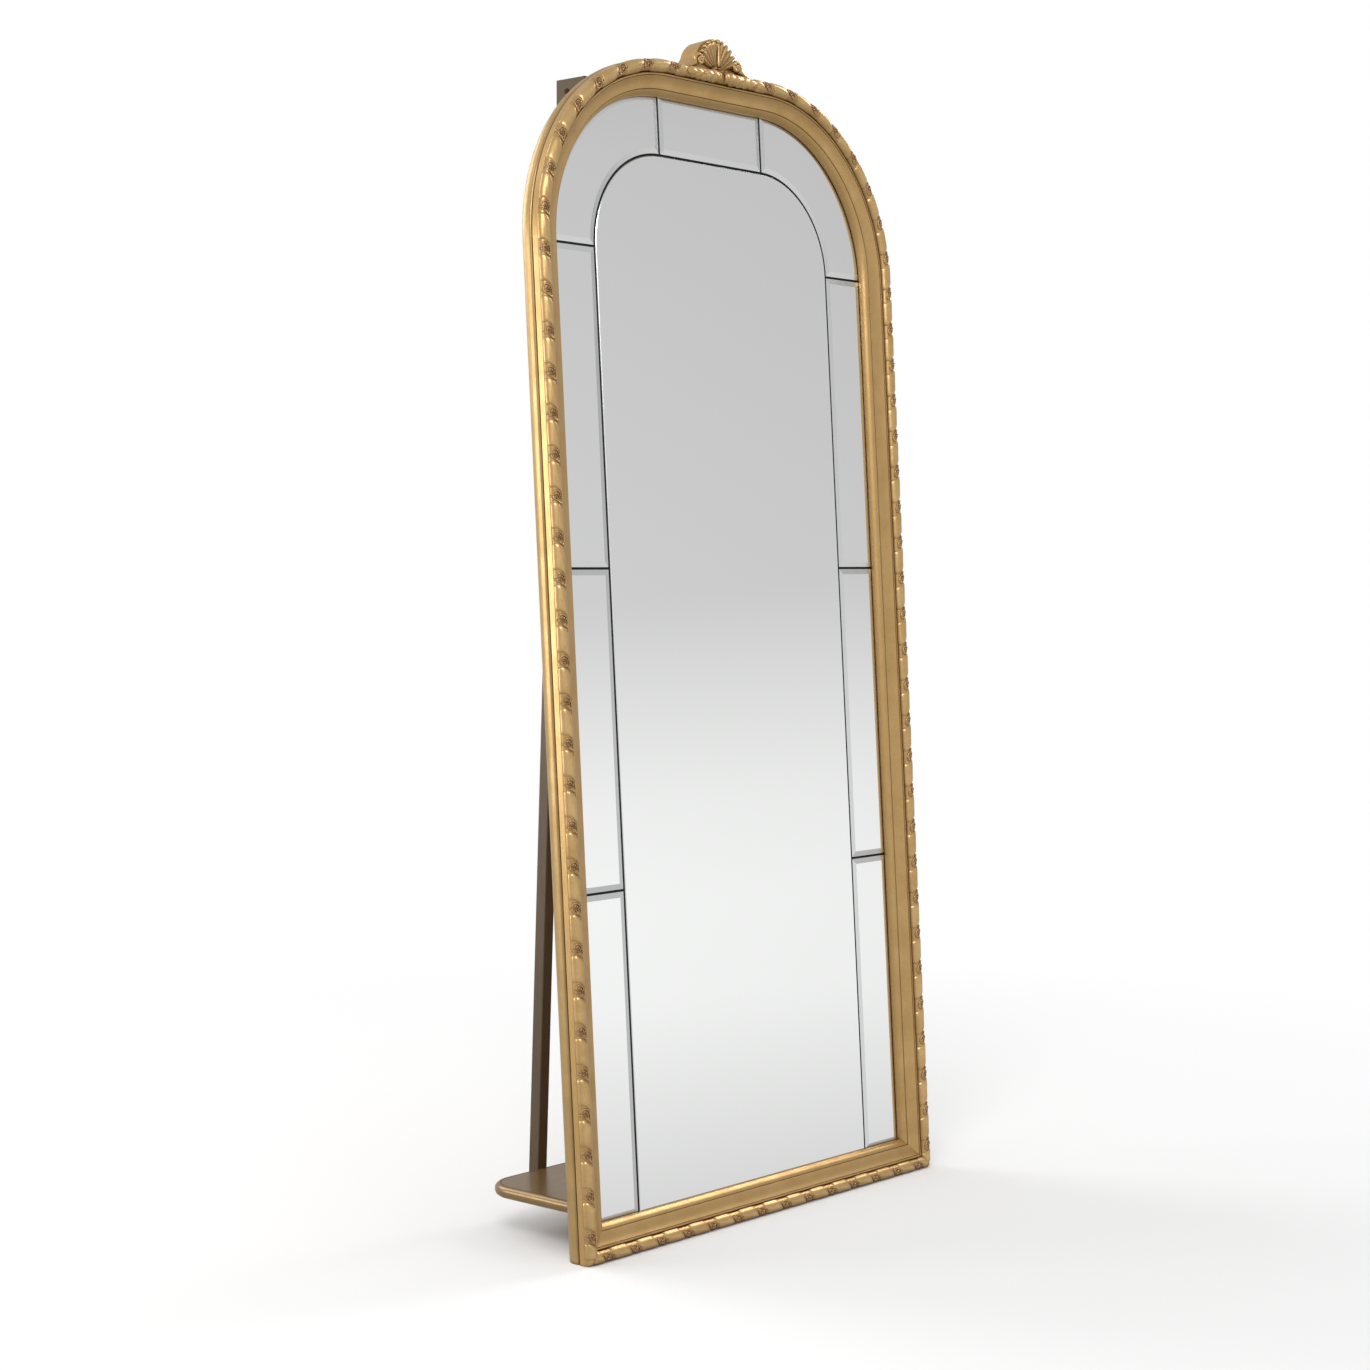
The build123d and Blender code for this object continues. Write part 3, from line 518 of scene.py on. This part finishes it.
def closed_ends(way, power):
    """A factor that is 1 along a limb and falls to 0 at both of its ends, steeper with the power."""
    return np.sqrt(np.maximum(1 - np.abs(2 * way - 1) ** power, 0.0))


def scroll(side):
    """A cord wound in a flat spiral of one and a half turns, thinner towards its eye."""
    way = np.linspace(0.0, 1.0, 60)
    angle = scroll_start + way * scroll_turn
    reach = scroll_reach * (1 - scroll_narrowing * way)
    across = side * (scroll_across + reach * np.cos(angle))
    up = shell_root + scroll_up + reach * np.sin(angle)
    line = np.stack([across, scroll_front + 4.0 * way, up], axis=1)
    return tube_grid(line, (scroll_thickness - scroll_thinning * way) * closed_ends(way, 16), 10)


def shoulder(side):
    """A limb that falls from the scroll in a hollow curve and runs out along the top of the roll."""
    way = np.linspace(0.0, 1.0, 24)
    across = side * (shoulder_start + shoulder_run * way)
    up = shell_root - shoulder_sink + shoulder_drop * (1 - way) ** shoulder_hollow
    line = np.stack([across, shoulder_front + 2.0 * way, up], axis=1)
    return tube_grid(line, (shoulder_thickness - shoulder_thinning * way) * closed_ends(way, 12))


print("beads on the rim:", len(rim_beads()))

# %% [markdown]
# A leaf lies over the roll as a ribbon turn does, but its edge is lobed and it is veined:
# one cosine along the leaf gives both. Six flowers stand round a seventh under the shell.

# %% The leaves and flowers of the crest
leaf_columns = 25
leaf_under = 5
leaf_rows = 60
lobe_depth = 0.2
vein_height = 0.55
vein_slant = 0.16
leaf_bow = 0.06
cluster_radius = 15.0
cluster_front = 29.0
cluster_count = 6
cluster_turn = 17.0
cluster_drop = 5.0
cluster_flower_radius = 7.0
cluster_flower_height = 5.0
rim_bead_radius = 3.1
top_bead_radius = 4.2
scroll_eye_radius = 4.4
leaves = [(10.0, crest_half_length, 15.5, 5, 4.2), (4.0, 50.0, 12.0, 3, 6.4)]


def leaf_grid(start, end, reach, lobes, lift):
    """A leaf over the roll: its half width swells and is lobed, its middle rises and is veined."""
    way = np.linspace(0.0, 1.0, leaf_rows)[:, None]
    over = np.linspace(-1.0, 1.0, leaf_columns)
    under = np.linspace(1.0, -1.0, leaf_under + 2)[1:-1]
    b = np.concatenate([over, under])[None, :]
    top = np.concatenate([np.ones(leaf_columns), np.zeros(leaf_under)])[None, :]
    lobe = 1 + lobe_depth * np.cos(2 * math.pi * lobes * way)
    half = reach * np.sin(math.pi * (0.04 + 0.96 * way) ** 0.75) ** 0.55 * lobe
    vein = vein_height * np.cos(2 * math.pi * lobes * (way - vein_slant * np.abs(b)))
    closing = np.sqrt(1 - np.abs(b) ** end_power) * np.sqrt(1 - (2 * way - 1) ** 12)
    rise = (lift * (1 - 0.55 * np.abs(b) ** 1.4) + vein) * closing
    proud = sunk + np.maximum(rise, 0.0) * top
    along = start + (end - start) * (way + leaf_bow * np.abs(b) ** 1.5 * np.sin(math.pi * way))
    return on_roll(top_run, along, b * half, proud)[None]


def foot_flowers():
    """An oval ring of flowers, twice as wide as high, round a last one that stands proud."""
    across, up, proud = flower(cluster_flower_radius, cluster_flower_height)
    angles = np.radians(cluster_turn + 360.0 / cluster_count * np.arange(cluster_count))
    x = np.append(cluster_radius * np.cos(angles), 0.0)[:, None, None]
    front = np.append(cluster_front - 2.0 * np.sin(angles) ** 2, cluster_front + 4.0)[:, None, None]
    z = np.append(cluster_radius / 2 * np.sin(angles), 0.0)[:, None, None]
    return leaning(x + across, -(front + proud - 3.0), shell_root - cluster_drop + z + up)


top_bead = (0.0, crest_front + 9.0, shell_root + stem_foot + stem_length)
scroll_eyes = [(side * scroll_across, crest_front + 6.0, shell_root + scroll_up) for side in (-1, 1)]
crest = [(shell, True), (ball_grid(rim_beads(), rim_bead_radius), True), (stem(), True)]
crest.append((ball_grid([top_bead], top_bead_radius), True))
crest.append((ball_grid(scroll_eyes, scroll_eye_radius), True))
crest += [(scroll(1), True), (scroll(-1), False), (foot_flowers(), True)]
crest += [(shoulder(1), True), (shoulder(-1), False)]
for start, end, reach, lobes, lift in leaves:
    for side in (1, -1):
        crest.append((leaf_grid(side * start, side * end, reach, lobes, lift), side < 0))
carved("crest_carving_shown", crest, "gilt_carving", "crest_carving")

# %% [markdown]
# The round solids come as loose triangles. A copy of each is joined into one skin, so that
# its curves are shaded smooth and its corners stay crisp. Flat boards and panes stay as
# they are.


# %% Smooth copies of the round solids
def smooth_copy(node, corner=28.0):
    """Join a solid's triangles into one skin that stands for it."""
    source = frame["nodes"][node].data
    places = np.empty(len(source.vertices) * 3)
    source.vertices.foreach_get("co", places)
    corners = np.empty(len(source.loops), dtype=np.int64)
    source.loops.foreach_get("vertex_index", corners)
    mesh = new_mesh(node + "_shown", places.reshape(-1, 3), corners.reshape(-1, 3), corner)
    piece = bpy.data.objects.new(node + "_shown", mesh)
    bpy.context.scene.collection.objects.link(piece)
    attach(piece, "root")
    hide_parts(node)
    return piece


node_slots = {entry["node"]: entry["material_slot"] for entry in frame["record"]["subparts"]}
round_starts = ("face_", "carcass_", "crest_block", "shelf", "foot", "coat_hook", "post",
                "side_board", "hook_board", "cover_clip", "joint_plate", "batten_screws",
                "hook_screws", "board_screws")
carved_starts = ("ribbon_left", "ribbon_right", "ribbon_bottom", "knots_", "crest_carving_shown")
pieces = bpy.context.scene.objects
shown = {"gilt_carving": [piece for piece in pieces if piece.name.startswith(carved_starts)]}
for node, slot in sorted(node_slots.items()):
    if slot == "gilt_carving":
        continue
    if node.startswith(round_starts):
        shown.setdefault(slot, []).append(smooth_copy(node))
    else:
        shown.setdefault(slot, []).append(frame["nodes"][node])
print({slot: len(pieces) for slot, pieces in shown.items()})

# %% [markdown]
# Every finish needs some unevenness. What several finishes need is built once, as a group
# of shader nodes that gives only masks from 0 to 1. The colours stay in each material.


# %% Helpers for the shared effects
def new_group(name, inputs, outputs):
    """An empty shader node group with number inputs and outputs."""
    group = bpy.data.node_groups.new(name, "ShaderNodeTree")
    for label, value in inputs:
        socket = group.interface.new_socket(label, in_out="INPUT", socket_type="NodeSocketFloat")
        socket.default_value = value
    for label in outputs:
        group.interface.new_socket(label, in_out="OUTPUT", socket_type="NodeSocketFloat")
    return group, group.nodes.new("NodeGroupInput"), group.nodes.new("NodeGroupOutput")


def math_node(tree, operation, *values, clamp=False):
    """A Math node with numbers or links as its inputs."""
    node = tree.nodes.new("ShaderNodeMath")
    node.operation = operation
    node.use_clamp = clamp
    for socket, value in zip(node.inputs, values):
        if isinstance(value, (int, float)):
            socket.default_value = value
        else:
            tree.links.new(value, socket)
    return node.outputs[0]


def noise_node(tree, vector, scale, detail, roughness=0.55):
    """A Noise Texture; scale may be a number or a link."""
    node = tree.nodes.new("ShaderNodeTexNoise")
    node.inputs["Detail"].default_value = detail
    node.inputs["Roughness"].default_value = roughness
    tree.links.new(vector, node.inputs["Vector"])
    if isinstance(scale, (int, float)):
        node.inputs["Scale"].default_value = scale
    else:
        tree.links.new(scale, node.inputs["Scale"])
    return node.outputs["Fac"]


print("helpers:", new_group.__name__, math_node.__name__, noise_node.__name__)

# %% [markdown]
# Patina is the cloudiness of handled metal and lacquer. Two sizes of noise are mixed, and
# the mix is drawn apart about its middle, so that the clouds get a clear edge.


# %% Patina
fine_ratio = 14.0
cloud_share = 0.7


def make_patina():
    """Mask = clouds sharpened about their middle; Height = fine grain for a bump."""
    group, given, out = new_group("patina", [("Scale", 25.0), ("Contrast", 2.5)], ["Mask", "Height"])
    place = group.nodes.new("ShaderNodeTexCoord").outputs["Object"]
    clouds = noise_node(group, place, given.outputs["Scale"], 6.0)
    fine_scale = math_node(group, "MULTIPLY", given.outputs["Scale"], fine_ratio)
    fine = noise_node(group, place, fine_scale, 3.0)
    broad_part = math_node(group, "MULTIPLY", clouds, cloud_share)
    fine_part = math_node(group, "MULTIPLY", fine, 1 - cloud_share)
    mixed = math_node(group, "ADD", broad_part, fine_part)
    centred = math_node(group, "SUBTRACT", mixed, 0.5)
    spread = math_node(group, "MULTIPLY", centred, given.outputs["Contrast"])
    group.links.new(math_node(group, "ADD", spread, 0.5, clamp=True), out.inputs["Mask"])
    group.links.new(fine, out.inputs["Height"])
    return group


patina = make_patina()
print("effect:", patina.name)

# %% [markdown]
# Gilding is painted dark in narrow grooves, as painted shade. The share of
# open space close to a point tells a groove from a ridge.


# %% Painted shade in grooves
def make_groove_shade():
    """Painted-shade mask = openness within a distance, raised so that only grooves are painted dark."""
    group, given, out = new_group("recess", [("Distance", 0.006), ("Power", 1.6)], ["Mask"])
    node = group.nodes.new("ShaderNodeAmbientOcclusion")
    node.samples = 6
    group.links.new(given.outputs["Distance"], node.inputs["Distance"])
    raised = math_node(group, "POWER", node.outputs["AO"], given.outputs["Power"], clamp=True)
    group.links.new(raised, out.inputs["Mask"])
    return group


recess = make_groove_shade()
print("effect:", recess.name)

# %% [markdown]
# Wood fibres are noise drawn out along the board. A switch turns them from upright boards
# to the shelf, which lies across.


# %% Wood grain
def make_grain():
    """Mask = noise stretched along one axis, as the fibres of a board."""
    group, given, out = new_group("grain", [("Across", 90.0), ("Along", 5.0), ("Turn", 0.0)], ["Mask"])
    place = group.nodes.new("ShaderNodeTexCoord").outputs["Object"]
    split = group.nodes.new("ShaderNodeSeparateXYZ")
    group.links.new(place, split.inputs[0])
    x_scale = group.nodes.new("ShaderNodeMapRange")
    z_scale = group.nodes.new("ShaderNodeMapRange")
    for node, low, high in ((x_scale, "Across", "Along"), (z_scale, "Along", "Across")):
        group.links.new(given.outputs["Turn"], node.inputs["Value"])
        group.links.new(given.outputs[low], node.inputs["To Min"])
        group.links.new(given.outputs[high], node.inputs["To Max"])
    join = group.nodes.new("ShaderNodeCombineXYZ")
    scales = (x_scale.outputs[0], given.outputs["Across"], z_scale.outputs[0])
    for axis, scale in enumerate(scales):
        group.links.new(math_node(group, "MULTIPLY", split.outputs[axis], scale), join.inputs[axis])
    group.links.new(noise_node(group, join.outputs[0], 1.0, 5.0, 0.62), out.inputs["Mask"])
    return group


grain = make_grain()
print("effect:", grain.name)

# %% [markdown]
# Colours are written as they read on a screen, from 0 to 255, and turned into the linear
# values that the renderer needs.


# %% Colours and the parts of a material
def colour(red, green, blue):
    """Screen colour to linear: ((c + 0.055) / 1.055) ^ 2.4 for all but the darkest values."""
    screen = np.array([red, green, blue]) / 255.0
    linear = np.where(screen > 0.04045, ((screen + 0.055) / 1.055) ** 2.4, screen / 12.92)
    return (*linear.tolist(), 1.0)


def start_material(name, roughness, metallic=0.0):
    """A material with its Principled shader."""
    material = bpy.data.materials.new(name)
    material.use_nodes = True
    shader = material.node_tree.nodes["Principled BSDF"]
    shader.inputs["Roughness"].default_value = roughness
    shader.inputs["Metallic"].default_value = metallic
    return material, material.node_tree, shader


def effect(tree, group, **values):
    """Place a shared group with its own values."""
    node = tree.nodes.new("ShaderNodeGroup")
    node.node_tree = group
    for label, value in values.items():
        node.inputs[label].default_value = value
    return node.outputs


def blend_colours(tree, mask, low, high):
    """Low where the mask is 0, high where it is 1; both may be colours or links."""
    node = tree.nodes.new("ShaderNodeMix")
    node.data_type = "RGBA"
    tree.links.new(mask, node.inputs["Factor"])
    for socket, value in ((node.inputs[6], low), (node.inputs[7], high)):
        if isinstance(value, tuple):
            socket.default_value = value
        else:
            tree.links.new(value, socket)
    return node.outputs[2]


def spread_values(tree, mask, low, high):
    """A number from low to high with the mask."""
    node = tree.nodes.new("ShaderNodeMapRange")
    tree.links.new(mask, node.inputs["Value"])
    node.inputs["To Min"].default_value = low
    node.inputs["To Max"].default_value = high
    return node.outputs[0]


def add_bump(tree, shader, height, distance, strength=0.5):
    """Fine relief from a height mask."""
    node = tree.nodes.new("ShaderNodeBump")
    node.inputs["Distance"].default_value = distance
    node.inputs["Strength"].default_value = strength
    tree.links.new(height, node.inputs["Height"])
    tree.links.new(node.outputs[0], shader.inputs["Normal"])


print("middle grey of the screen is", round(colour(128, 128, 128)[0], 3), "in linear light")

# %% [markdown]
# Gilding over carved wood is metal leaf on a reddish-brown ground. It is warm and satin,
# lighter where it is rubbed, and its grooves get painted shade, nearly brown in the ground's colour.


# %% Gilding
def gilt(name, main, light, ground, reach, power, metallic=0.72):
    """Metal that clouds from main to light, painted towards the ground colour in grooves within the
    reach, as shade.
    """
    material, tree, shader = start_material(name, 0.4, metallic)
    clouds = effect(tree, patina, Scale=22.0, Contrast=2.0)
    # painted shade: grooves turn to the ground colour by how closed in they are
    groove_shade_mask = effect(tree, recess, Distance=reach, Power=power)[0]
    leaf = blend_colours(tree, clouds["Mask"], main, light)
    tree.links.new(blend_colours(tree, groove_shade_mask, ground, leaf), shader.inputs["Base Color"])
    rough = spread_values(tree, clouds["Mask"], 0.44, 0.30)
    tree.links.new(rough, shader.inputs["Roughness"])
    add_bump(tree, shader, clouds["Height"], 0.0004, 0.35)
    return material


# columns: main, light, ground colour of the painted groove shade, its reach and its power
golds = {
    "gilt_frame": ((186, 148, 91), (207, 171, 116), (124, 86, 56), 0.005, 1.5),
    "gilt_carving": ((188, 149, 92), (222, 188, 132), (98, 62, 44), 0.006, 2.2),
    # knots: a darker copy of the carving's gilding with stronger groove shade, as painted shade among
    # the curls
    "knot_gilding": ((174, 136, 92), (200, 164, 114), (104, 70, 55), 0.007, 2.4),
    "frame_body": ((170, 137, 86), (198, 166, 112), (86, 62, 38), 0.006, 1.6),
}
finishes = {}
for name, (main, light, ground, reach, power) in golds.items():
    finishes[name] = gilt(name, colour(*main), colour(*light), colour(*ground), reach, power)
print("gilding:", ", ".join(golds))

# %% [markdown]
# A mirror is silver behind clear glass. A plain metal with hardly any roughness gives the
# same reflection. A face that isn't parallel to the flat of the mirror is a bevel or an
# edge: there the glass is ground, and it shows a softer and slightly darker picture.


# %% Mirror glass
flat_facing = math.cos(math.radians(3.0))
ground_roughness = 0.26


def mirror_glass():
    """Near-white metal, very smooth on the flat and duller where the glass is ground to a bevel."""
    material, tree, shader = start_material("mirror_glass", 0.015, 1.0)
    facing = tree.nodes.new("ShaderNodeVectorMath")
    facing.operation = "DOT_PRODUCT"
    facing.inputs[1].default_value = (0.0, -math.cos(lean), math.sin(lean))
    tree.links.new(tree.nodes.new("ShaderNodeNewGeometry").outputs["True Normal"], facing.inputs[0])
    flat = math_node(tree, "GREATER_THAN", facing.outputs["Value"], flat_facing)
    tree.links.new(blend_colours(tree, flat, (0.80, 0.81, 0.81, 1.0), (0.93, 0.94, 0.93, 1.0)),
                   shader.inputs["Base Color"])
    clouds = effect(tree, patina, Scale=3.0, Contrast=1.0)
    polish = spread_values(tree, clouds["Mask"], 0.01, 0.022)
    bevel = math_node(tree, "SUBTRACT", 1.0, flat)
    ground = math_node(tree, "MULTIPLY", bevel, ground_roughness)
    tree.links.new(math_node(tree, "ADD", polish, ground), shader.inputs["Roughness"])
    return material


finishes["mirror_glass"] = mirror_glass()
print("a face is flat glass when the cosine of its tilt is over", round(flat_facing, 5))

# %% [markdown]
# The stand is lacquered in bronze brown, glossier on the shelf. The fibres of the wood
# still show a little through the lacquer.


# %% Lacquered and plain boards
def board(name, dark, light, roughness, turn=0.0, coat=0.0, metallic=0.0):
    """Fibres from dark to light under an optional clear coat."""
    material, tree, shader = start_material(name, roughness, metallic)
    fibres = effect(tree, grain, Across=110.0, Along=6.0, Turn=turn)["Mask"]
    clouds = effect(tree, patina, Scale=9.0, Contrast=2.0)
    wood = blend_colours(tree, fibres, dark, light)
    tree.links.new(blend_colours(tree, clouds["Mask"], dark, wood), shader.inputs["Base Color"])
    rough = spread_values(tree, fibres, roughness + 0.06, roughness - 0.06)
    tree.links.new(rough, shader.inputs["Roughness"])
    shader.inputs["Coat Weight"].default_value = coat
    shader.inputs["Coat Roughness"].default_value = 0.18
    add_bump(tree, shader, fibres, 0.0003, 0.25)
    return material


lacquer_brown = colour(76, 60, 40), colour(98, 80, 56)
shelf_brown = colour(130, 102, 62), colour(152, 122, 78)
finishes["rack_wood"] = board("rack_wood", *lacquer_brown, 0.5, coat=0.1, metallic=0.1)
finishes["shelf_lacquer"] = board("shelf_lacquer", *shelf_brown, 0.3, 1.0, 0.25, 0.5)
finishes["black_board"] = board("black_board", colour(24, 21, 19), colour(36, 32, 29), 0.75)
finishes["cover_board"] = board("cover_board", colour(120, 92, 62), colour(150, 120, 84), 0.7)
finishes["dowel_wood"] = board("dowel_wood", colour(190, 160, 116), colour(216, 188, 146), 0.6)
print("boards:", ", ".join(name for name in finishes if name not in golds and name != "mirror_glass"))

# %% [markdown]
# Hooks are brass, the fittings on the back are plain steel and the screws in the side
# boards are dark bronze. Felt under the feet is all short fibres, so it gets a sheen.


# %% Metal fittings and felt
def metal(name, main, light, roughness):
    """Solid metal with light handling marks."""
    material, tree, shader = start_material(name, roughness, 1.0)
    clouds = effect(tree, patina, Scale=60.0, Contrast=2.5)
    tree.links.new(blend_colours(tree, clouds["Mask"], main, light), shader.inputs["Base Color"])
    rough = spread_values(tree, clouds["Mask"], roughness + 0.08, roughness - 0.06)
    tree.links.new(rough, shader.inputs["Roughness"])
    add_bump(tree, shader, clouds["Height"], 0.0001, 0.3)
    return material


def felt():
    """Short dark fibres without gloss."""
    material, tree, shader = start_material("felt", 0.95)
    clouds = effect(tree, patina, Scale=260.0, Contrast=4.0)
    tree.links.new(blend_colours(tree, clouds["Mask"], colour(44, 36, 30), colour(74, 62, 52)),
                   shader.inputs["Base Color"])
    shader.inputs["Sheen Weight"].default_value = 0.4
    add_bump(tree, shader, clouds["Height"], 0.0006, 0.8)
    return material


finishes["steel"] = metal("steel", colour(168, 168, 165), colour(200, 200, 196), 0.34)
finishes["dark_bronze"] = metal("dark_bronze", colour(58, 36, 28), colour(80, 52, 40), 0.55)
finishes["brass"] = metal("brass", colour(176, 140, 76), colour(214, 180, 112), 0.28)
finishes["felt"] = felt()
# the knots take the darker gilding: painted shade among their curls
own_finishes = {"shelf_shown": "shelf_lacquer", "knots_": "knot_gilding"}
for slot, pieces in shown.items():
    for piece in pieces:
        own = [finish for start, finish in own_finishes.items() if piece.name.startswith(start)]
        material = finishes[own[0] if own else slot]
        piece.data.materials.clear()
        piece.data.materials.append(material)
print("finishes:", ", ".join(sorted(finishes)))

# %% [markdown]
# The stage is a plain pale floor and an even white surround. What the mirror shows is the
# surround seen by glossy rays: brightest just under the horizon, greyer above it and to
# the side, as in a studio whose upper walls and far corners lie in shade.


# %% Surround
height_levels = [(-0.60, 0.50), (-0.25, 0.57), (-0.163, 0.75), (-0.088, 0.97),
                 (-0.05, 0.98), (-0.011, 0.93), (0.03, 0.80), (0.068, 0.67),
                 (0.185, 0.63), (0.24, 0.61), (0.30, 0.51), (0.60, 0.75)]
side_levels = [(-1.0, 1.0), (-0.8, 1.0), (-0.69, 0.98), (-0.60, 0.93),
               (-0.48, 0.66), (0.0, 0.74), (1.0, 0.88)]
even_level = 0.62


def level_ramp(tree, value, levels):
    """A grey ramp through pairs of (component of the direction, level)."""
    ramp = tree.nodes.new("ShaderNodeValToRGB")
    tree.links.new(spread_from(tree, value, -1.0, 1.0), ramp.inputs[0])
    for i, (place, level) in enumerate(levels):
        position = (place + 1.0) / 2
        stop = ramp.color_ramp.elements[i] if i < 2 else ramp.color_ramp.elements.new(position)
        stop.position = position
        stop.color = (level, level, level, 1.0)
    return ramp.outputs[0]


def surround():
    """White for the camera, ramps by height and side for reflections, an even level for the rest."""
    world = bpy.data.worlds.new("surround")
    bpy.context.scene.world = world
    world.use_nodes = True
    tree = world.node_tree
    background = tree.nodes["Background"]
    path = tree.nodes.new("ShaderNodeLightPath")
    direction = tree.nodes.new("ShaderNodeTexCoord").outputs["Generated"]
    split = tree.nodes.new("ShaderNodeSeparateXYZ")
    tree.links.new(direction, split.inputs[0])
    by_height = level_ramp(tree, split.outputs[2], height_levels)
    by_side = level_ramp(tree, split.outputs[1], side_levels)
    reflected = tree.nodes.new("ShaderNodeMix")
    reflected.data_type = "RGBA"
    reflected.blend_type = "MULTIPLY"
    reflected.inputs["Factor"].default_value = 1.0
    tree.links.new(by_height, reflected.inputs[6])
    tree.links.new(by_side, reflected.inputs[7])
    plain = (even_level, even_level, even_level, 1.0)
    even = blend_colours(tree, path.outputs["Is Glossy Ray"], plain, reflected.outputs[2])
    seen = math_node(tree, "MAXIMUM", path.outputs["Is Camera Ray"], path.outputs["Is Transmission Ray"])
    tree.links.new(blend_colours(tree, seen, even, (1.0, 1.0, 1.0, 1.0)), background.inputs[0])


def spread_from(tree, value, low, high):
    """A value between low and high as 0 to 1."""
    node = tree.nodes.new("ShaderNodeMapRange")
    tree.links.new(value, node.inputs["Value"])
    node.inputs["From Min"].default_value = low
    node.inputs["From Max"].default_value = high
    return node.outputs[0]


surround()
print("levels of the surround:", len(height_levels), "by height,", len(side_levels), "by side")

# %% [markdown]
# The floor catches the shadow near the object and turns to plain white farther out, so
# that it has no horizon. Mirror and gilding reflect the surround and not the floor.


# %% Floor
floor_reach = 40.0
shadow_near = 0.9
shadow_far = 2.6


def floor():
    """A pale plane that turns to plain white away from the object."""
    mesh = bpy.data.meshes.new("floor")
    r = floor_reach
    mesh.from_pydata([(-r, -r, 0), (r, -r, 0), (r, r, 0), (-r, r, 0)], [], [(0, 1, 2, 3)])
    piece = bpy.data.objects.new("floor", mesh)
    bpy.context.scene.collection.objects.link(piece)
    material, tree, shader = start_material("floor", 0.9)
    shader.inputs["Base Color"].default_value = (0.9, 0.9, 0.9, 1.0)
    shader.inputs["Specular IOR Level"].default_value = 0.0
    place = tree.nodes.new("ShaderNodeTexCoord").outputs["Object"]
    length = tree.nodes.new("ShaderNodeVectorMath")
    length.operation = "LENGTH"
    tree.links.new(place, length.inputs[0])
    away = spread_from(tree, length.outputs["Value"], shadow_near, shadow_far)
    path = tree.nodes.new("ShaderNodeLightPath")
    white = tree.nodes.new("ShaderNodeEmission")
    white.inputs["Color"].default_value = (1.0, 1.0, 1.0, 1.0)
    seen = math_node(tree, "MULTIPLY", path.outputs["Is Camera Ray"], away)
    mix = tree.nodes.new("ShaderNodeMixShader")
    tree.links.new(seen, mix.inputs[0])
    tree.links.new(shader.outputs[0], mix.inputs[1])
    tree.links.new(white.outputs[0], mix.inputs[2])
    tree.links.new(mix.outputs[0], tree.nodes["Material Output"].inputs["Surface"])
    mesh.materials.append(material)
    piece.visible_glossy = False


floor()
print("the shadow fades between", shadow_near, "and", shadow_far, "m")

# %% [markdown]
# Two broad lamps in front light the carving from the left, high up, and from the right.
# Two behind light the rack and the edge of the frame. Broad lamps make soft shadows and long highlights.


# %% Lamps
def lamp(name, place, target, size, energy):
    """A square lamp at a place that faces a target."""
    light = bpy.data.lights.new(name, "AREA")
    light.size = size
    light.energy = energy
    holder = bpy.data.objects.new(name, light)
    bpy.context.scene.collection.objects.link(holder)
    ahead = np.subtract(target, place)
    holder.location = place
    fall = math.atan2(math.hypot(ahead[0], ahead[1]), -ahead[2])
    turn = math.atan2(ahead[1], ahead[0]) - math.pi / 2
    holder.rotation_euler = (fall, 0.0, turn)
    print(f"{name}: {energy:.0f} W")


middle = (0.0, 0.0, 1.0)
lamp("key_lamp", (-3.4, -2.2, 3.6), middle, 1.8, 90.0)
lamp("side_lamp", (3.8, -0.6, 4.0), middle, 1.6, 55.0)
lamp("back_lamp", (-0.8, 4.0, 3.0), middle, 2.4, 60.0)
lamp("rim_lamp", (-3.4, 2.8, 1.3), middle, 1.6, 45.0)

# %% [markdown]
# The camera stands to the left of the mirror at the height of a person's waist, far off
# with a long lens, so that the upright edges hardly converge.

# %% Camera
camera_place = (-3.2254, -2.8276, 1.0827)
camera_fall = 2.725
camera_turn = 48.235
camera_lens = 66.71

camera = bpy.data.cameras.new("camera")
camera.lens = camera_lens
camera.sensor_width = 36.0
viewer = bpy.data.objects.new("camera", camera)
bpy.context.scene.collection.objects.link(viewer)
viewer.location = camera_place
viewer.rotation_euler = (math.radians(90.0 - camera_fall), 0.0, math.radians(-camera_turn))
bpy.context.scene.camera = viewer
bpy.context.scene.view_settings.view_transform = "Standard"
print("distance of the camera:", round(math.hypot(*camera_place[:2]), 2), "m")
